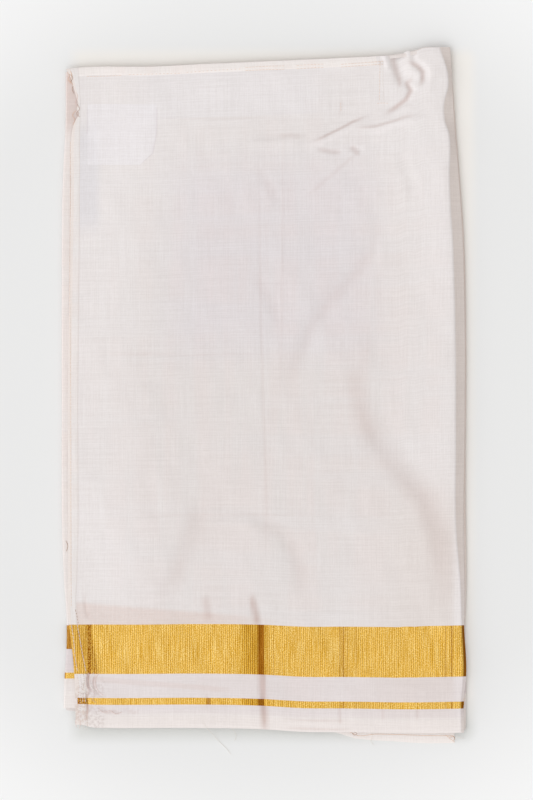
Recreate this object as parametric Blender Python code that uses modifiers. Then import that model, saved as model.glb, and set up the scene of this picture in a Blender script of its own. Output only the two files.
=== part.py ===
"""A silk dhoti with woven gold borders, folded into a flat stack and lying on a surface.

The cloth is doubled across its width, with the fold at +Y, and then folded back and forth
in five panels between the left and right edges. Only the outer plies show, so those are
walls of cloth of their own, and one layered solid stands for all the plies between them.
X runs across the panel, +Y away from the border, +Z up from the surface. Metres.
"""

import math

import bmesh
import bpy
from mathutils import Vector

MM = 0.001

# Walls and gaps
WALL = 1.0 * MM
TRIM = 1.0 * MM
GAP = 0.3 * MM
LOFT = 1.9 * MM  # air between the top ply and the stack, where the label and the valleys fit

# The top ply, measured across to its fold and up from its selvedge
PLY_WIDTH = 340 * MM
PLY_LENGTH = 602 * MM
STRIPE_LOW = 21.2 * MM
STRIPE_HIGH = 27.4 * MM
BAND_LOW = 49.3 * MM
BAND_MIDDLE = 71.8 * MM
BAND_HIGH = 94.3 * MM
EDGE_HEM = 5.5 * MM
END_HEM = 9.0 * MM
EDGE_HEM_END = 0.84  # share of the way across where the stitched top edge stops

# Folds at the sides
ARM = 8.0 * MM  # how far a hidden arm of a fold reaches in past its bend
LOW_FOLD = 2.4 * MM  # height of the bottom ply's fold
TAIL_HEIGHT = 4.2 * MM  # underside of the top ply where it turns back under itself
LEFT_FOLD_LOW = -282 * MM
LEFT_FOLD_PLAIN = -168 * MM  # above this the left fold is evenly divided
LEFT_FOLD_HIGH = 290 * MM
LEFT_SIDE = -180 * MM
RIGHT_SIDE = 180 * MM
BEND_STEPS = 6
FOLD_STEPS_ALONG = 14

# The label under the top ply, from its lower left corner
LABEL_LEFT = -158.6 * MM
LABEL_LOW = 207.0 * MM
LABEL_WIDTH = 63.0 * MM
LABEL_HEIGHT = 54.0 * MM
LABEL_CORNER = 9.0 * MM
LABEL_STEPS = 4

# The stack of hidden plies
LIPS = 4
LIP_DEPTH = 0.9 * MM
STACK_STEPS_ACROSS = 10
STACK_STEPS_ALONG = 16
SIDE_RISE = 60.0 * MM  # width over which the stack rises from its left side to its middle
CREST_RISE = 70.0 * MM  # the same beside the right fold
EDGE_CURL = 1.2 * MM  # how far the top ply's ends turn down
CURL_REACH = 5.0 * MM
SHORT_OF_TOP = 3.5 * MM  # the plies below stop this far short of the top edge

SILK = ("silk", (0.80, 0.74, 0.71), 0.55, 0.0)
SILK_HEM = ("silk_hem", (0.84, 0.78, 0.74), 0.6, 0.0)
ZARI = ("zari", (0.72, 0.45, 0.10), 0.38, 0.8)
LABEL_TAPE = ("label_tape", (0.86, 0.86, 0.87), 0.5, 0.0)

# Edges in millimetres. Side edges: y, x. End edges: x, y.
HEM_EDGE = (
    (-297, -169.6), (-250, -171.0), (-207, -174.4), (-160, -176.2), (0, -176.8),
    (130, -175.3), (190, -173.9), (245, -172.4), (282, -172.6), (294, -178.6),
)
LEFT_FOLD_EDGE = (
    (-282, -180.4), (-252, -179.6), (-228, -178.0), (-205, -177.8), (-160, -180.4),
    (0, -182.2), (90, -182.2), (190, -181.4), (245, -178.8), (290, -178.6),
)
RIGHT_FOLD_EDGE = (
    (-304, 181.4), (-252, 182.0), (-205, 181.2), (-176, 182.2), (-90, 181.3),
    (50, 181.8), (140, 180.0), (220, 174.4), (256, 172.0), (312, 169.6),
)
BOTTOM_EDGE = (
    (-170, -296.5), (-158, -298.8), (-130, -300.6), (-58, -300.2), (-2, -301.5),
    (37, -304.2), (68, -303.8), (149, -305.1), (181, -304.2),
)
TOP_EDGE = (
    (-179, 293.4), (-166, 294.7), (-98, 295.5), (-58, 297.5), (-8, 299.7),
    (77, 303.5), (109, 305.1), (122, 306.9), (145, 311.0), (163, 313.7),
)
LOWEST_PLY_EDGE = (
    (-178, -284.0), (-120, -292.0), (40, -300.0), (66, -304.5), (80, -309.0),
    (113, -311.8), (140, -313.7), (172, -313.7),
)

# The left fold's own border, which lies higher than the top ply's: y of its stripe's two
# edges, and of the part of its band that the end hem leaves bare. Millimetres.
LEFT_STRIPE = (-254.7, -249.3)
LEFT_BAND = (-227.7, -206.7)

# The top ply's fold at the right: y, outermost x, width of its slope. Millimetres.
TOP_FOLD = (
    (-304, 180.0, 4.5), (-275, 179.6, 4.0), (-252, 180.6, 3.4), (-207, 179.2, 3.4),
    (-176, 180.2, 4.8), (-120, 179.2, 7.5), (-40, 179.8, 8.6), (50, 179.6, 9.3),
    (140, 178.0, 9.6), (220, 172.4, 8.0), (256, 170.1, 7.6), (275, 169.0, 4.6),
    (300, 168.6, 5.5), (313, 167.0, 5.5),
)

# Height of the top of the cloth: y, at the left side, in the middle, at the right fold. Millimetres.
HEIGHTS = (
    (-304, 6.8, 6.8, 7.6), (-230, 6.8, 7.2, 8.4), (-100, 6.8, 8.4, 11.0),
    (50, 6.8, 9.0, 12.0), (200, 6.8, 8.6, 11.4), (270, 6.8, 7.8, 9.2), (314, 6.8, 7.2, 7.8),
)

# Soft valleys pressed into the top ply: half width, depth, the points along each. Millimetres.
VALLEYS = (
    (17, 1.2, ((108, 165), (102, 130), (48, 69), (20, 14))),
    (16, 1.2, ((80, 20), (97, -30), (125, -78), (157, -115), (162, -185))),
    (15, 0.9, ((-45, -97), (-5, -112), (22, -142), (35, -175))),
    (16, 0.7, ((-104, -60), (-92, -105), (-97, -178))),
    (12, 1.2, ((-10, 231), (42, 229), (66, 238), (93, 253))),
)


def curve(table, at, column=1):
    """The value of a table's column at a place along its first column, on a smooth curve."""
    at = min(max(at / MM, table[0][0]), table[-1][0])
    i = max(k for k in range(len(table) - 1) if table[k][0] <= at)
    low, high = table[i], table[i + 1]
    before, after = table[max(i - 1, 0)], table[min(i + 2, len(table) - 1)]
    span = high[0] - low[0]
    start = span * (high[column] - before[column]) / (high[0] - before[0])
    end = span * (after[column] - low[column]) / (after[0] - low[0])
    t = (at - low[0]) / span
    return MM * (
        (2 * t**3 - 3 * t**2 + 1) * low[column]
        + (t**3 - 2 * t**2 + t) * start
        + (3 * t**2 - 2 * t**3) * high[column]
        + (t**3 - t**2) * end
    )


def smoothstep(t):
    t = min(max(t, 0.0), 1.0)
    return t * t * (3 - 2 * t)


def mix(low, high, share):
    return low + (high - low) * share


def spread(low, high, steps):
    return [mix(low, high, k / steps) for k in range(steps + 1)]


def crest_x(y):
    return curve(TOP_FOLD, y, 1) - curve(TOP_FOLD, y, 2)


def stack_height(x, y):
    """Height of the cloth's top before its valleys and its curled ends."""
    left, middle, crest = (curve(HEIGHTS, y, column) for column in (1, 2, 3))
    rise = smoothstep((x - curve(LEFT_FOLD_EDGE, y) - 2 * ARM) / SIDE_RISE)
    swell = smoothstep((x - crest_x(y) + CREST_RISE) / CREST_RISE)
    return left + (middle - left) * rise + (crest - middle) * swell


def valley_depth(x, y):
    """Depth of the valleys at a point: the deepest one there counts."""
    deepest = 0.0
    here = Vector((x, y))
    for half_width, depth, points in VALLEYS:
        path = [Vector(point) * MM for point in points]
        nearest = min(distance_to_run(here, a, b) for a, b in zip(path, path[1:]))
        share = smoothstep(1 - nearest / (half_width * MM))
        deepest = max(deepest, depth * MM * share)
    return deepest


def distance_to_run(here, start, end):
    run = end - start
    share = min(max((here - start).dot(run) / run.length_squared, 0.0), 1.0)
    return (here - start - run * share).length


def curl(distance):
    """How far a loose end turns down, this far in from it."""
    share = min(max(1 - distance / CURL_REACH, 0.0), 1.0)
    return EDGE_CURL * share * share


def ply_y(x, up):
    """Where the line this far up the top ply lies, between its two uneven ends."""
    return mix(curve(BOTTOM_EDGE, x), curve(TOP_EDGE, x), up / PLY_LENGTH)


def top_ply(across, up):
    """Outer face of the top ply. across: 0 to 1 to the fold's crest, to 2 round it, to 3 under it."""
    level = mix(curve(BOTTOM_EDGE, 0), curve(TOP_EDGE, 0), up / PLY_LENGTH)
    for _ in range(3):
        left, crest = curve(HEM_EDGE, level), crest_x(level)
        level = ply_y(mix(left, crest, min(across, 1.0)), up)
    left, crest, slope = curve(HEM_EDGE, level), crest_x(level), curve(TOP_FOLD, level, 2)
    drop = curl(up) + curl(PLY_LENGTH - up)
    crest_height = stack_height(crest, level) - drop
    if across <= 1:
        x = mix(left, crest, across)
        return Vector((x, level, stack_height(x, level) - valley_depth(x, level) - drop))
    if across <= 2:
        angle = (across - 1) * math.pi
        half = (crest_height - TAIL_HEIGHT) / 2
        return Vector((crest + slope * math.sin(angle), level, TAIL_HEIGHT + half * (1 + math.cos(angle))))
    return Vector((crest - (across - 2) * GAP * 2, level, TAIL_HEIGHT))


def left_fold(along_bend, y):
    """Outer face of the second fold at the left, from its lower arm (0) round its bend (1 to 2) to 3."""
    edge = curve(LEFT_FOLD_EDGE, y)
    low = LOW_FOLD + GAP
    radius = (curve(HEIGHTS, y, 1) - WALL - GAP - low) / 2
    if along_bend <= 1:
        return Vector((edge + radius + ARM * (1 - along_bend), y, low))
    if along_bend <= 2:
        angle = (along_bend - 1) * math.pi
        return Vector((edge + radius * (1 - math.sin(angle)), y, low + radius * (1 - math.cos(angle))))
    bare = max(curve(HEM_EDGE, y) - 3 * GAP - edge - radius, GAP)
    reach = mix(0, bare, (along_bend - 2) * 2) if along_bend <= 2.5 else mix(bare, ARM, along_bend * 2 - 5)
    return Vector((edge + radius + reach, y, low + 2 * radius))


def bottom_ply(along_bend, share):
    """The lowest ply's face on the surface, from its free end (0) to the bend (1 to 2) and back in (3)."""
    def reach(x):
        return mix(curve(LOWEST_PLY_EDGE, x), curve(TOP_EDGE, x) - SHORT_OF_TOP, share)

    free_end = crest_x(reach(RIGHT_SIDE)) - 4 * GAP
    radius = LOW_FOLD / 2
    edge = curve(LEFT_FOLD_EDGE, reach(LEFT_SIDE)) + 2 * GAP
    if along_bend <= 1:
        x = mix(free_end, edge + radius, along_bend)
        return Vector((x, reach(x), 0.0))
    if along_bend <= 2:
        angle = (along_bend - 1) * math.pi
        x = edge + radius * (1 - math.sin(angle))
        return Vector((x, reach(x), radius * (1 - math.cos(angle))))
    x = edge + radius + ARM * (along_bend - 2)
    return Vector((x, reach(x), LOW_FOLD))


def right_fold(along_bend, share):
    """Outer face of the lower fold at the right, from its upper arm (0) round its bend to 3."""
    low = curve(BOTTOM_EDGE, RIGHT_SIDE) + SHORT_OF_TOP
    high = curve(TOP_EDGE, RIGHT_SIDE) - SHORT_OF_TOP
    y = mix(low, high, share)
    edge = curve(RIGHT_FOLD_EDGE, y)
    radius = (TAIL_HEIGHT - GAP) / 2
    inner = crest_x(y) - GAP
    if along_bend <= 1:
        return Vector((mix(inner, edge - radius, along_bend), y, 2 * radius))
    if along_bend <= 2:
        angle = (along_bend - 1) * math.pi
        return Vector((edge - radius * (1 - math.sin(angle)), y, radius * (1 + math.cos(angle))))
    return Vector((mix(edge - radius, inner, along_bend - 2), y, 0.0))


def stack_point(across, along, inset):
    """Where a share across and along the hidden stack lies, with its outline drawn in by inset."""
    level = mix(LEFT_FOLD_LOW, LEFT_FOLD_HIGH, along)
    for _ in range(2):
        left = curve(LEFT_FOLD_EDGE, level) + ARM + 9 * GAP + inset
        right = crest_x(level) - 8 * GAP - inset
        x = mix(left, right, across)
        low = curve(BOTTOM_EDGE, x) + SHORT_OF_TOP + inset
        high = curve(TOP_EDGE, x) - SHORT_OF_TOP - inset
        level = mix(low, high, along)
    return x, level


def material(finish):
    name, colour, roughness, metallic = finish
    if name in bpy.data.materials:
        return bpy.data.materials[name]
    made = bpy.data.materials.new(name)
    made.use_nodes = True
    shader = made.node_tree.nodes["Principled BSDF"]
    shader.inputs["Base Color"].default_value = (*colour, 1.0)
    shader.inputs["Roughness"].default_value = roughness
    shader.inputs["Metallic"].default_value = metallic
    made.diffuse_color = (*colour, 1.0)
    return made


def add_object(name, shape, finish, collection):
    mesh = bpy.data.meshes.new(name)
    shape.to_mesh(mesh)
    shape.free()
    mesh.materials.append(material(finish))
    mesh.shade_smooth()
    mesh.set_sharp_from_angle(angle=math.radians(50))
    made = bpy.data.objects.new(name, mesh)
    collection.objects.link(made)
    return made


def grid_of(points):
    """An open grid with its points at points[row][column]."""
    rows, columns = len(points), len(points[0])
    shape = bmesh.new()
    bmesh.ops.create_grid(shape, x_segments=columns - 1, y_segments=rows - 1, size=1.0)
    for vert in shape.verts:
        column = round((vert.co.x + 1) / 2 * (columns - 1))
        row = round((vert.co.y + 1) / 2 * (rows - 1))
        vert.co = points[row][column]
    return shape


def add_wall(name, points, thickness, finish, collection):
    """A wall of cloth: its outer face, thickened inwards."""
    wall = add_object(name, grid_of(points), finish, collection)
    solidify = wall.modifiers.new("thickness", "SOLIDIFY")
    solidify.thickness = thickness
    solidify.offset = -1
    solidify.use_even_offset = True
    solidify.use_quality_normals = True
    return wall


def moved_out(points, distance):
    """The same points, moved out along the surface's normals."""
    last_row, last_column = len(points) - 1, len(points[0]) - 1
    moved = []
    for j, row in enumerate(points):
        moved.append([])
        for i, point in enumerate(row):
            across = row[min(i + 1, last_column)] - row[max(i - 1, 0)]
            along = points[min(j + 1, last_row)][i] - points[max(j - 1, 0)][i]
            moved[-1].append(point + across.cross(along).normalized() * distance)
    return moved


def part_of(points, rows, columns):
    return [points[j][columns[0]:columns[1] + 1] for j in range(rows[0], rows[1] + 1)]


def add_trim(name, points, rows, columns, finish, collection):
    """A strip that lies on a wall, made from that wall's own points."""
    outer = part_of(moved_out(points, GAP + TRIM), rows, columns)
    return add_wall(name, outer, TRIM, finish, collection)


def bend_stations():
    """Stations of a wall with one bend: an arm, the bend, and the other arm."""
    return [0.0] + spread(1.0, 2.0, BEND_STEPS) + [3.0]


def build_top_ply(collection):
    hem = END_HEM / PLY_WIDTH
    beside_hem = hem + 1.5 * GAP / PLY_WIDTH
    across = [0.0, hem, beside_hem] + spread(0.07, EDGE_HEM_END, 14)
    hem_end = len(across) - 1
    across += spread(0.88, 1.0, 3)
    crest = len(across) - 1
    across += spread(1.0, 2.0, BEND_STEPS)[1:] + [3.0]
    up = [0.0, 3 * MM, STRIPE_LOW, STRIPE_HIGH, BAND_LOW, BAND_MIDDLE]
    up += spread(BAND_HIGH, PLY_LENGTH - 4 * EDGE_HEM, 24)
    up += [PLY_LENGTH - EDGE_HEM, PLY_LENGTH - EDGE_HEM / 2, PLY_LENGTH]
    points = [[top_ply(column, row) for column in across] for row in up]
    add_wall("top_ply", points, WALL, SILK, collection)

    outermost = crest + BEND_STEPS // 2
    top = len(up) - 1
    band = (up.index(BAND_LOW), up.index(BAND_HIGH))
    stripe = (up.index(STRIPE_LOW), up.index(STRIPE_HIGH))
    stitched = (top - 2, top)
    add_trim("border_band", points, band, (2, outermost), ZARI, collection)
    add_trim("border_stripe", points, stripe, (2, outermost), ZARI, collection)
    add_trim("end_hem", points, (0, top), (0, 1), SILK_HEM, collection)
    add_trim("edge_hem", points, stitched, (2, hem_end), SILK_HEM, collection)


def build_left_fold(collection):
    stations = bend_stations()
    stations.insert(-1, 2.5)
    border = [y * MM for y in LEFT_STRIPE + LEFT_BAND]
    levels = [LEFT_FOLD_LOW] + border
    levels += spread(LEFT_FOLD_PLAIN, LEFT_FOLD_HIGH, FOLD_STEPS_ALONG)
    points = [[left_fold(station, level) for station in stations] for level in levels]
    add_wall("left_fold", points, WALL, SILK, collection)
    outermost = stations.index(1.5)
    bare_end = stations.index(2.5)
    add_trim("left_stripe", points, (1, 2), (outermost, bare_end), ZARI, collection)
    add_trim("left_band", points, (3, 4), (outermost, bare_end), ZARI, collection)


def build_lower_plies(collection):
    """The lowest ply, with stations close together where its edge steps out, and the fold on it."""
    shares = spread(0.0, 1.0, FOLD_STEPS_ALONG)
    stations = [0.0, 0.1, 0.2, 0.3, 0.45, 0.7] + bend_stations()[1:]
    lowest = [[bottom_ply(station, share) for station in stations] for share in shares]
    add_wall("bottom_ply", lowest, WALL, SILK, collection)
    lower = [[right_fold(station, share) for station in bend_stations()] for share in shares]
    add_wall("right_fold", lower, WALL, SILK, collection)


def build_label(collection):
    """A blank sewn label against the inside of the top ply, with one corner cut."""
    points = []
    for j in range(LABEL_STEPS + 1):
        row = []
        for i in range(LABEL_STEPS + 1):
            x = LABEL_LEFT + LABEL_WIDTH * i / LABEL_STEPS
            y = LABEL_LOW + LABEL_HEIGHT * j / LABEL_STEPS
            if i == LABEL_STEPS and j == 0:
                x, y = x - LABEL_CORNER / 2, y + LABEL_CORNER / 2
            height = stack_height(x, y) - valley_depth(x, y) - WALL - 1.5 * GAP
            row.append(Vector((x, y, height)))
        points.append(row)
    add_wall("label", points, TRIM, LABEL_TAPE, collection)


def build_stack(collection):
    """The plies between: a loft of outlines, in and out again for each lip, under a curved top."""
    nx, ny = STACK_STEPS_ACROSS, STACK_STEPS_ALONG
    walk = [(i / nx, 0.0) for i in range(nx)] + [(1.0, j / ny) for j in range(ny)]
    walk += [(1 - i / nx, 1.0) for i in range(nx)] + [(0.0, 1 - j / ny) for j in range(ny)]
    base = LOW_FOLD / 2 + GAP
    shape = bmesh.new()
    rings = []
    for k in range(2 * LIPS + 1):
        inset = LIP_DEPTH if k % 2 == 0 else 0.0
        ring = []
        for across, along in walk:
            x, y = stack_point(across, along, inset)
            top = stack_height(x, y) - WALL - LOFT - LIP_DEPTH
            ring.append(shape.verts.new((x, y, mix(base, top, k / (2 * LIPS)))))
        rings.append(ring)
    shape.faces.new(reversed(rings[0]))
    for lower, upper in zip(rings, rings[1:]):
        for k in range(len(walk)):
            after = (k + 1) % len(walk)
            shape.faces.new((lower[k], lower[after], upper[after], upper[k]))
    top_grid = {place: vert for place, vert in zip(walk, rings[-1])}
    for j in range(1, ny):
        for i in range(1, nx):
            x, y = stack_point(i / nx, j / ny, LIP_DEPTH)
            top = stack_height(x, y) - WALL - LOFT
            top_grid[(i / nx, j / ny)] = shape.verts.new((x, y, top))
    corners = {(round(a * nx), round(b * ny)): vert for (a, b), vert in top_grid.items()}
    for j in range(ny):
        for i in range(nx):
            around = ((i, j), (i + 1, j), (i + 1, j + 1), (i, j + 1))
            shape.faces.new([corners[place] for place in around])
    bmesh.ops.recalc_face_normals(shape, faces=shape.faces)
    add_object("inner_stack", shape, SILK, collection)


def main():
    for old in list(bpy.data.objects):
        bpy.data.objects.remove(old)
    collection = bpy.data.collections.new("folded_dhoti")
    bpy.context.scene.collection.children.link(collection)
    build_top_ply(collection)
    build_left_fold(collection)
    build_lower_plies(collection)
    build_label(collection)
    build_stack(collection)


main()
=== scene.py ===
"""A silk dhoti with woven gold borders, folded into a flat stack: its looks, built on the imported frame.

Each ply of the cloth is one smooth grid of points. Its quads are shared out between the pieces
that the weave and the sewing make of it: silk field, gold band and stripe, and turned hems.
The two long ribbons below the top ply run back and forth between the side folds.
"""

import math

import bpy
import numpy as np
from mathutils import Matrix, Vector


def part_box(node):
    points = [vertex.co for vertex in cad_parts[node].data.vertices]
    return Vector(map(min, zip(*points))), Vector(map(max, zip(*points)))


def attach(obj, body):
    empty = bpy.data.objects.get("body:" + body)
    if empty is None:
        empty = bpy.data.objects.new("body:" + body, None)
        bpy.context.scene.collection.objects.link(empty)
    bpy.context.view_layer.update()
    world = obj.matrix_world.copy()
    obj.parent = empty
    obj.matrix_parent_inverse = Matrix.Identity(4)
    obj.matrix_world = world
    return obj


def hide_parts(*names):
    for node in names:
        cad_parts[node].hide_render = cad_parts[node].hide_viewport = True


MM = 0.001
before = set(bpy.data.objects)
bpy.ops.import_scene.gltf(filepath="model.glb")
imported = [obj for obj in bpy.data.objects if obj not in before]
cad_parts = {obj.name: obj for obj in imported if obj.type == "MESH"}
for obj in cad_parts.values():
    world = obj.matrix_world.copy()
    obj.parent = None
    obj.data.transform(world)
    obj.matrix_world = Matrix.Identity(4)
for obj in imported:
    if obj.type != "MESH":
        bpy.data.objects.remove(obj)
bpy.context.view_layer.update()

# The top ply, measured up from its selvedge
PLY_LENGTH = 602 * MM
PLY_WIDTH = 350 * MM
STRIPE = (21.2 * MM, 27.4 * MM)
BAND = (49.3 * MM, 94.3 * MM)
END_HEM = 9.0 * MM
EDGE_HEM = 8.0 * MM
EDGE_HEM_END = 287 * MM  # how far across the stitched top edge runs
HEM_RISE = 0.22 * MM
STRIPE_START = 1.4 * MM
WEAVE_START = -180 * MM  # where the weave's own measure across starts
CLOTH = 0.3 * MM
BEND_LENGTH = 16 * MM
SLOPE_SHARE = 0.8  # how much of the bend is the slope below the crest
SLOPE_BOW = 0.9  # 1 is a straight slope, less is steeper at the crest
CREST_ROLL = (0.30 * MM, 6 * MM)  # how far the cloth dips before the crest, and over what width
NO_ROLL_BELOW = -190 * MM
EDGE_RADIUS = 0.6 * MM
TAIL_HEIGHT = 4.35 * MM
TAIL_REACH = 14 * MM
EDGE_CURL = 0.5 * MM
CURL_REACH = 5 * MM
SIDE_RISE = 60 * MM
CREST_RISE = 70 * MM
SIDE_LEVEL = 16 * MM

# Edges in millimetres. Side edges: y, x. End edges: x, y.
HEM_EDGE = (
    (-297, -169.6), (-272, -170.2), (-250, -171.0), (-228, -173.0), (-207, -175.6), (-190, -176.8),
    (-160, -176.6), (0, -176.6), (130, -175.0), (190, -173.8), (228, -173.8), (240, -172.4),
    (246, -170.4), (249.5, -168.6), (253, -166.4), (257, -168.6), (262, -167.8), (268, -169.0),
    (276, -171.4), (284, -173.6), (294, -178.8),
)
HEM_INNER_EDGE = (
    (-297, -158.4), (-270, -158.8), (-249, -160.4), (-228, -164.2), (-207, -168.2), (-190, -169.2),
    (-160, -168.0), (0, -167.4), (130, -166.2), (230, -165.8), (270, -165.6), (294, -167.0),
)
LEFT_FOLD_EDGE = (
    (-282, -180.4), (-252, -179.4), (-228, -177.8), (-205, -177.6), (-160, -180.4),
    (0, -182.0), (90, -182.0), (190, -181.2), (245, -178.6), (290, -178.6),
)
RIGHT_FOLD_EDGE = (
    (-304, 181.4), (-252, 182.0), (-205, 181.2), (-176, 182.0), (-90, 181.3),
    (50, 181.8), (140, 180.0), (220, 174.2), (256, 171.4), (285, 169.2), (300, 167.4), (312, 165.4),
)
BOTTOM_EDGE = (
    (-175, -299.6), (-130, -299.8), (-58, -299.6), (-2, -300.8), (37, -303.2), (68, -303.4),
    (149, -304.4), (181, -303.8),
)
# How far the corner at the end hem falls short of the bottom edge: x, rise. Millimetres.
CORNER_RISE = ((-176, 3.0), (-162, 2.4), (-157, 1.0), (-140, 0.2), (-130, 0))
TOP_EDGE = (
    (-179, 293.4), (-166, 294.7), (-98, 295.5), (-58, 297.5), (-8, 299.7), (77, 303.5),
    (109, 305.1), (121, 305.6), (128, 309.2), (136, 308.9), (142, 311.6), (154, 312.8), (166, 313.4),
)
LOWEST_PLY_EDGE = (
    (-178, -284.0), (-120, -292.0), (40, -300.0), (66, -304.5), (80, -309.0),
    (113, -311.8), (140, -313.7), (172, -313.7),
)

# The top ply's fold at the right: y, outermost x, width of its slope. Millimetres.
TOP_FOLD = (
    (-304, 179.8, 2.6), (-275, 179.6, 2.4), (-252, 181.8, 2.8), (-207, 180.0, 2.4),
    (-176, 180.2, 3.6), (-120, 179.4, 7.2), (-40, 180.2, 8.4), (50, 180.6, 9.2),
    (140, 178.6, 9.9), (184, 176.0, 9.8), (207, 174.2, 8.0), (220, 173.2, 6.4), (236, 171.6, 6.0),
    (246, 171.0, 9.0), (262, 170.1, 9.0), (279, 169.2, 3.8), (291, 168.8, 4.2), (301, 168.2, 6.8),
    (309, 167.6, 9.2), (314, 167.2, 10.2),
)

# Height of the top of the cloth: y, at the left side, in the middle, at the right fold. Millimetres.
HEIGHTS = (
    (-304, 6.8, 6.8, 7.6), (-230, 6.8, 7.2, 8.4), (-100, 6.8, 8.4, 11.0),
    (50, 6.8, 9.0, 12.0), (200, 6.8, 8.6, 11.6), (270, 6.8, 8.2, 10.6), (314, 6.8, 7.6, 9.4),
)

# Curls beside the end hem, where its stitches pucker the border: their points x, y. Millimetres.
CURLS = (
    ((-156, -246), (-158.6, -254), (-158, -262), (-154, -269)),
    ((-151, -249), (-154, -258), (-153, -265), (-147, -272)),
    ((-160, -264), (-158.6, -279), (-161, -294)),
    ((-148, -281), (-141, -286), (-135, -284.6), (-127, -287)),
    ((-126, -281), (-119, -286), (-111, -284.4)),
)

# Creases laid in the top ply. Height (below 0, a trough), width of the side on the left of the
# way along it, width of the side on the right, its points. Millimetres.
CREASES = (
    # the large soft valleys
    (-1.10, 16, 12, ((102, 172), (101, 150), (97, 131), (85, 111), (69, 95), (43, 63), (28, 24), (22, -6))),
    (-1.00, 34, 15, (
        (74, 38), (84, 8), (93, -16), (105, -40), (126, -66), (148, -92), (158, -126), (160, -160),
        (161, -198),
    )),
    (-0.80, 13, 11, ((-52, -90), (-30, -98), (-8, -108), (18, -126), (33, -156), (38, -190))),
    (-0.60, 16, 14, ((-52, -86), (-60, -108), (-72, -140), (-82, -166), (-92, -196))),
    (-0.45, 12, 10, ((-110, -60), (-100, -90), (-96, -120))),
    (-0.60, 10, 9, ((118, 228), (123, 218), (134, 186), (136, 172))),
    (-0.45, 8, 8, ((-10, 206), (2, 192), (16, 168))),
    (-0.45, 10, 9, ((-10, 112), (2, 92), (17, 58))),
    # the drag lines below the top edge
    (0.80, 5, 11, ((-20, 226), (-8, 227), (16, 228.5), (34, 231), (42, 229))),
    (1.50, 2.0, 9, ((32, 223), (42, 226.6), (59, 234.0), (84, 246.0), (96, 251.8), (102, 254))),
    (1.00, 2.2, 8, ((78, 239.6), (90, 240.4), (102, 241.2), (116, 245.4), (138, 250.6), (150, 251.4))),
    (0.60, 3, 6, ((123, 242), (114, 236.6), (102, 229), (96, 226))),
    (-0.80, 3.5, 3.5, ((45, 222.4), (52, 221.2), (66, 219), (73, 218.2))),
    (-0.90, 3.5, 3.5, ((75, 222.4), (80, 221.6), (86, 220.4), (91, 218.6))),
    (0.40, 3, 1.6, ((90, 223), (70, 207.5), (58, 195.5), (42, 186), (32, 178))),
    # puckers at the corner where the edge stitching stops
    (-2.20, 12, 8, ((119, 320), (119.4, 306), (120.4, 296), (122.4, 287), (123, 276))),
    (0.90, 4, 4, ((107, 312), (108.4, 304), (110, 298), (112, 291))),
    (-1.10, 5, 4.5, ((134, 318), (133.4, 311), (134.4, 304), (136.4, 299))),
    (-1.50, 6, 6, ((129, 301.6), (134, 299.6), (141, 295.4), (144.4, 290), (144, 283), (140, 277))),
    (-1.40, 5, 5, (
        (140, 287.6), (134, 285.2), (129, 280.6), (132.4, 274), (128, 265), (117, 257.6), (104, 249.6),
    )),
    (0.60, 7, 7, ((150, 300), (152, 292), (149, 280), (144, 268))),
    # old packing creases, sharp and shallow
    (-0.12, 1.8, 1.5, ((-6, 232), (-5.3, 220), (-4, 140), (-2.9, 69), (1.6, -83), (2, -95))),
    (0.16, 1.2, 1.2, ((16.9, 299), (16.6, 200), (16, 78), (14.2, 0), (14, -15))),
    (0.14, 1.4, 1.4, ((-95, 248.4), (-40, 248.8), (20, 249.4), (38, 249.6))),
    (-0.14, 1.4, 1.4, ((-170, 36.4), (-60, 36), (20, 36.2), (40, 36.4))),
    (-0.14, 1.4, 1.4, ((-170, -108.4), (-60, -108), (-10, -107.6))),
    # the fold line down the middle of the border, and small lines beside it
    (-0.55, 1.6, 2.6, ((-1, -190), (-2.4, -205), (-3.2, -228), (-3.6, -252), (0.4, -278), (0.8, -303))),
    (-0.12, 1.0, 1.4, ((69, -196), (70, -210), (72, -252), (73, -262))),
    (-0.12, 1.0, 1.4, ((170, -205), (168, -230), (169, -250))),
    (-0.25, 1.2, 1.2, ((68, -278), (68.6, -290), (69, -304))),
    (-0.25, 1.2, 1.2, ((107, -279), (107, -292))),
    (-0.25, 1.2, 1.2, ((137.6, -279), (138, -293))),
    (-0.20, 1.2, 1.2, ((-51, -270), (-50.6, -282))),
    # the curls, and a pucker above them
    (-0.80, 1.8, 1.8, CURLS[0]), (-0.65, 1.8, 1.6, CURLS[1]), (-0.60, 1.6, 1.6, CURLS[2]),
    (-0.45, 1.8, 1.8, CURLS[3]), (-0.40, 1.8, 1.8, CURLS[4]),
    (-0.50, 2.2, 1.2, ((-162, -181), (-161, -193), (-157.6, -204))),
)

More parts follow.
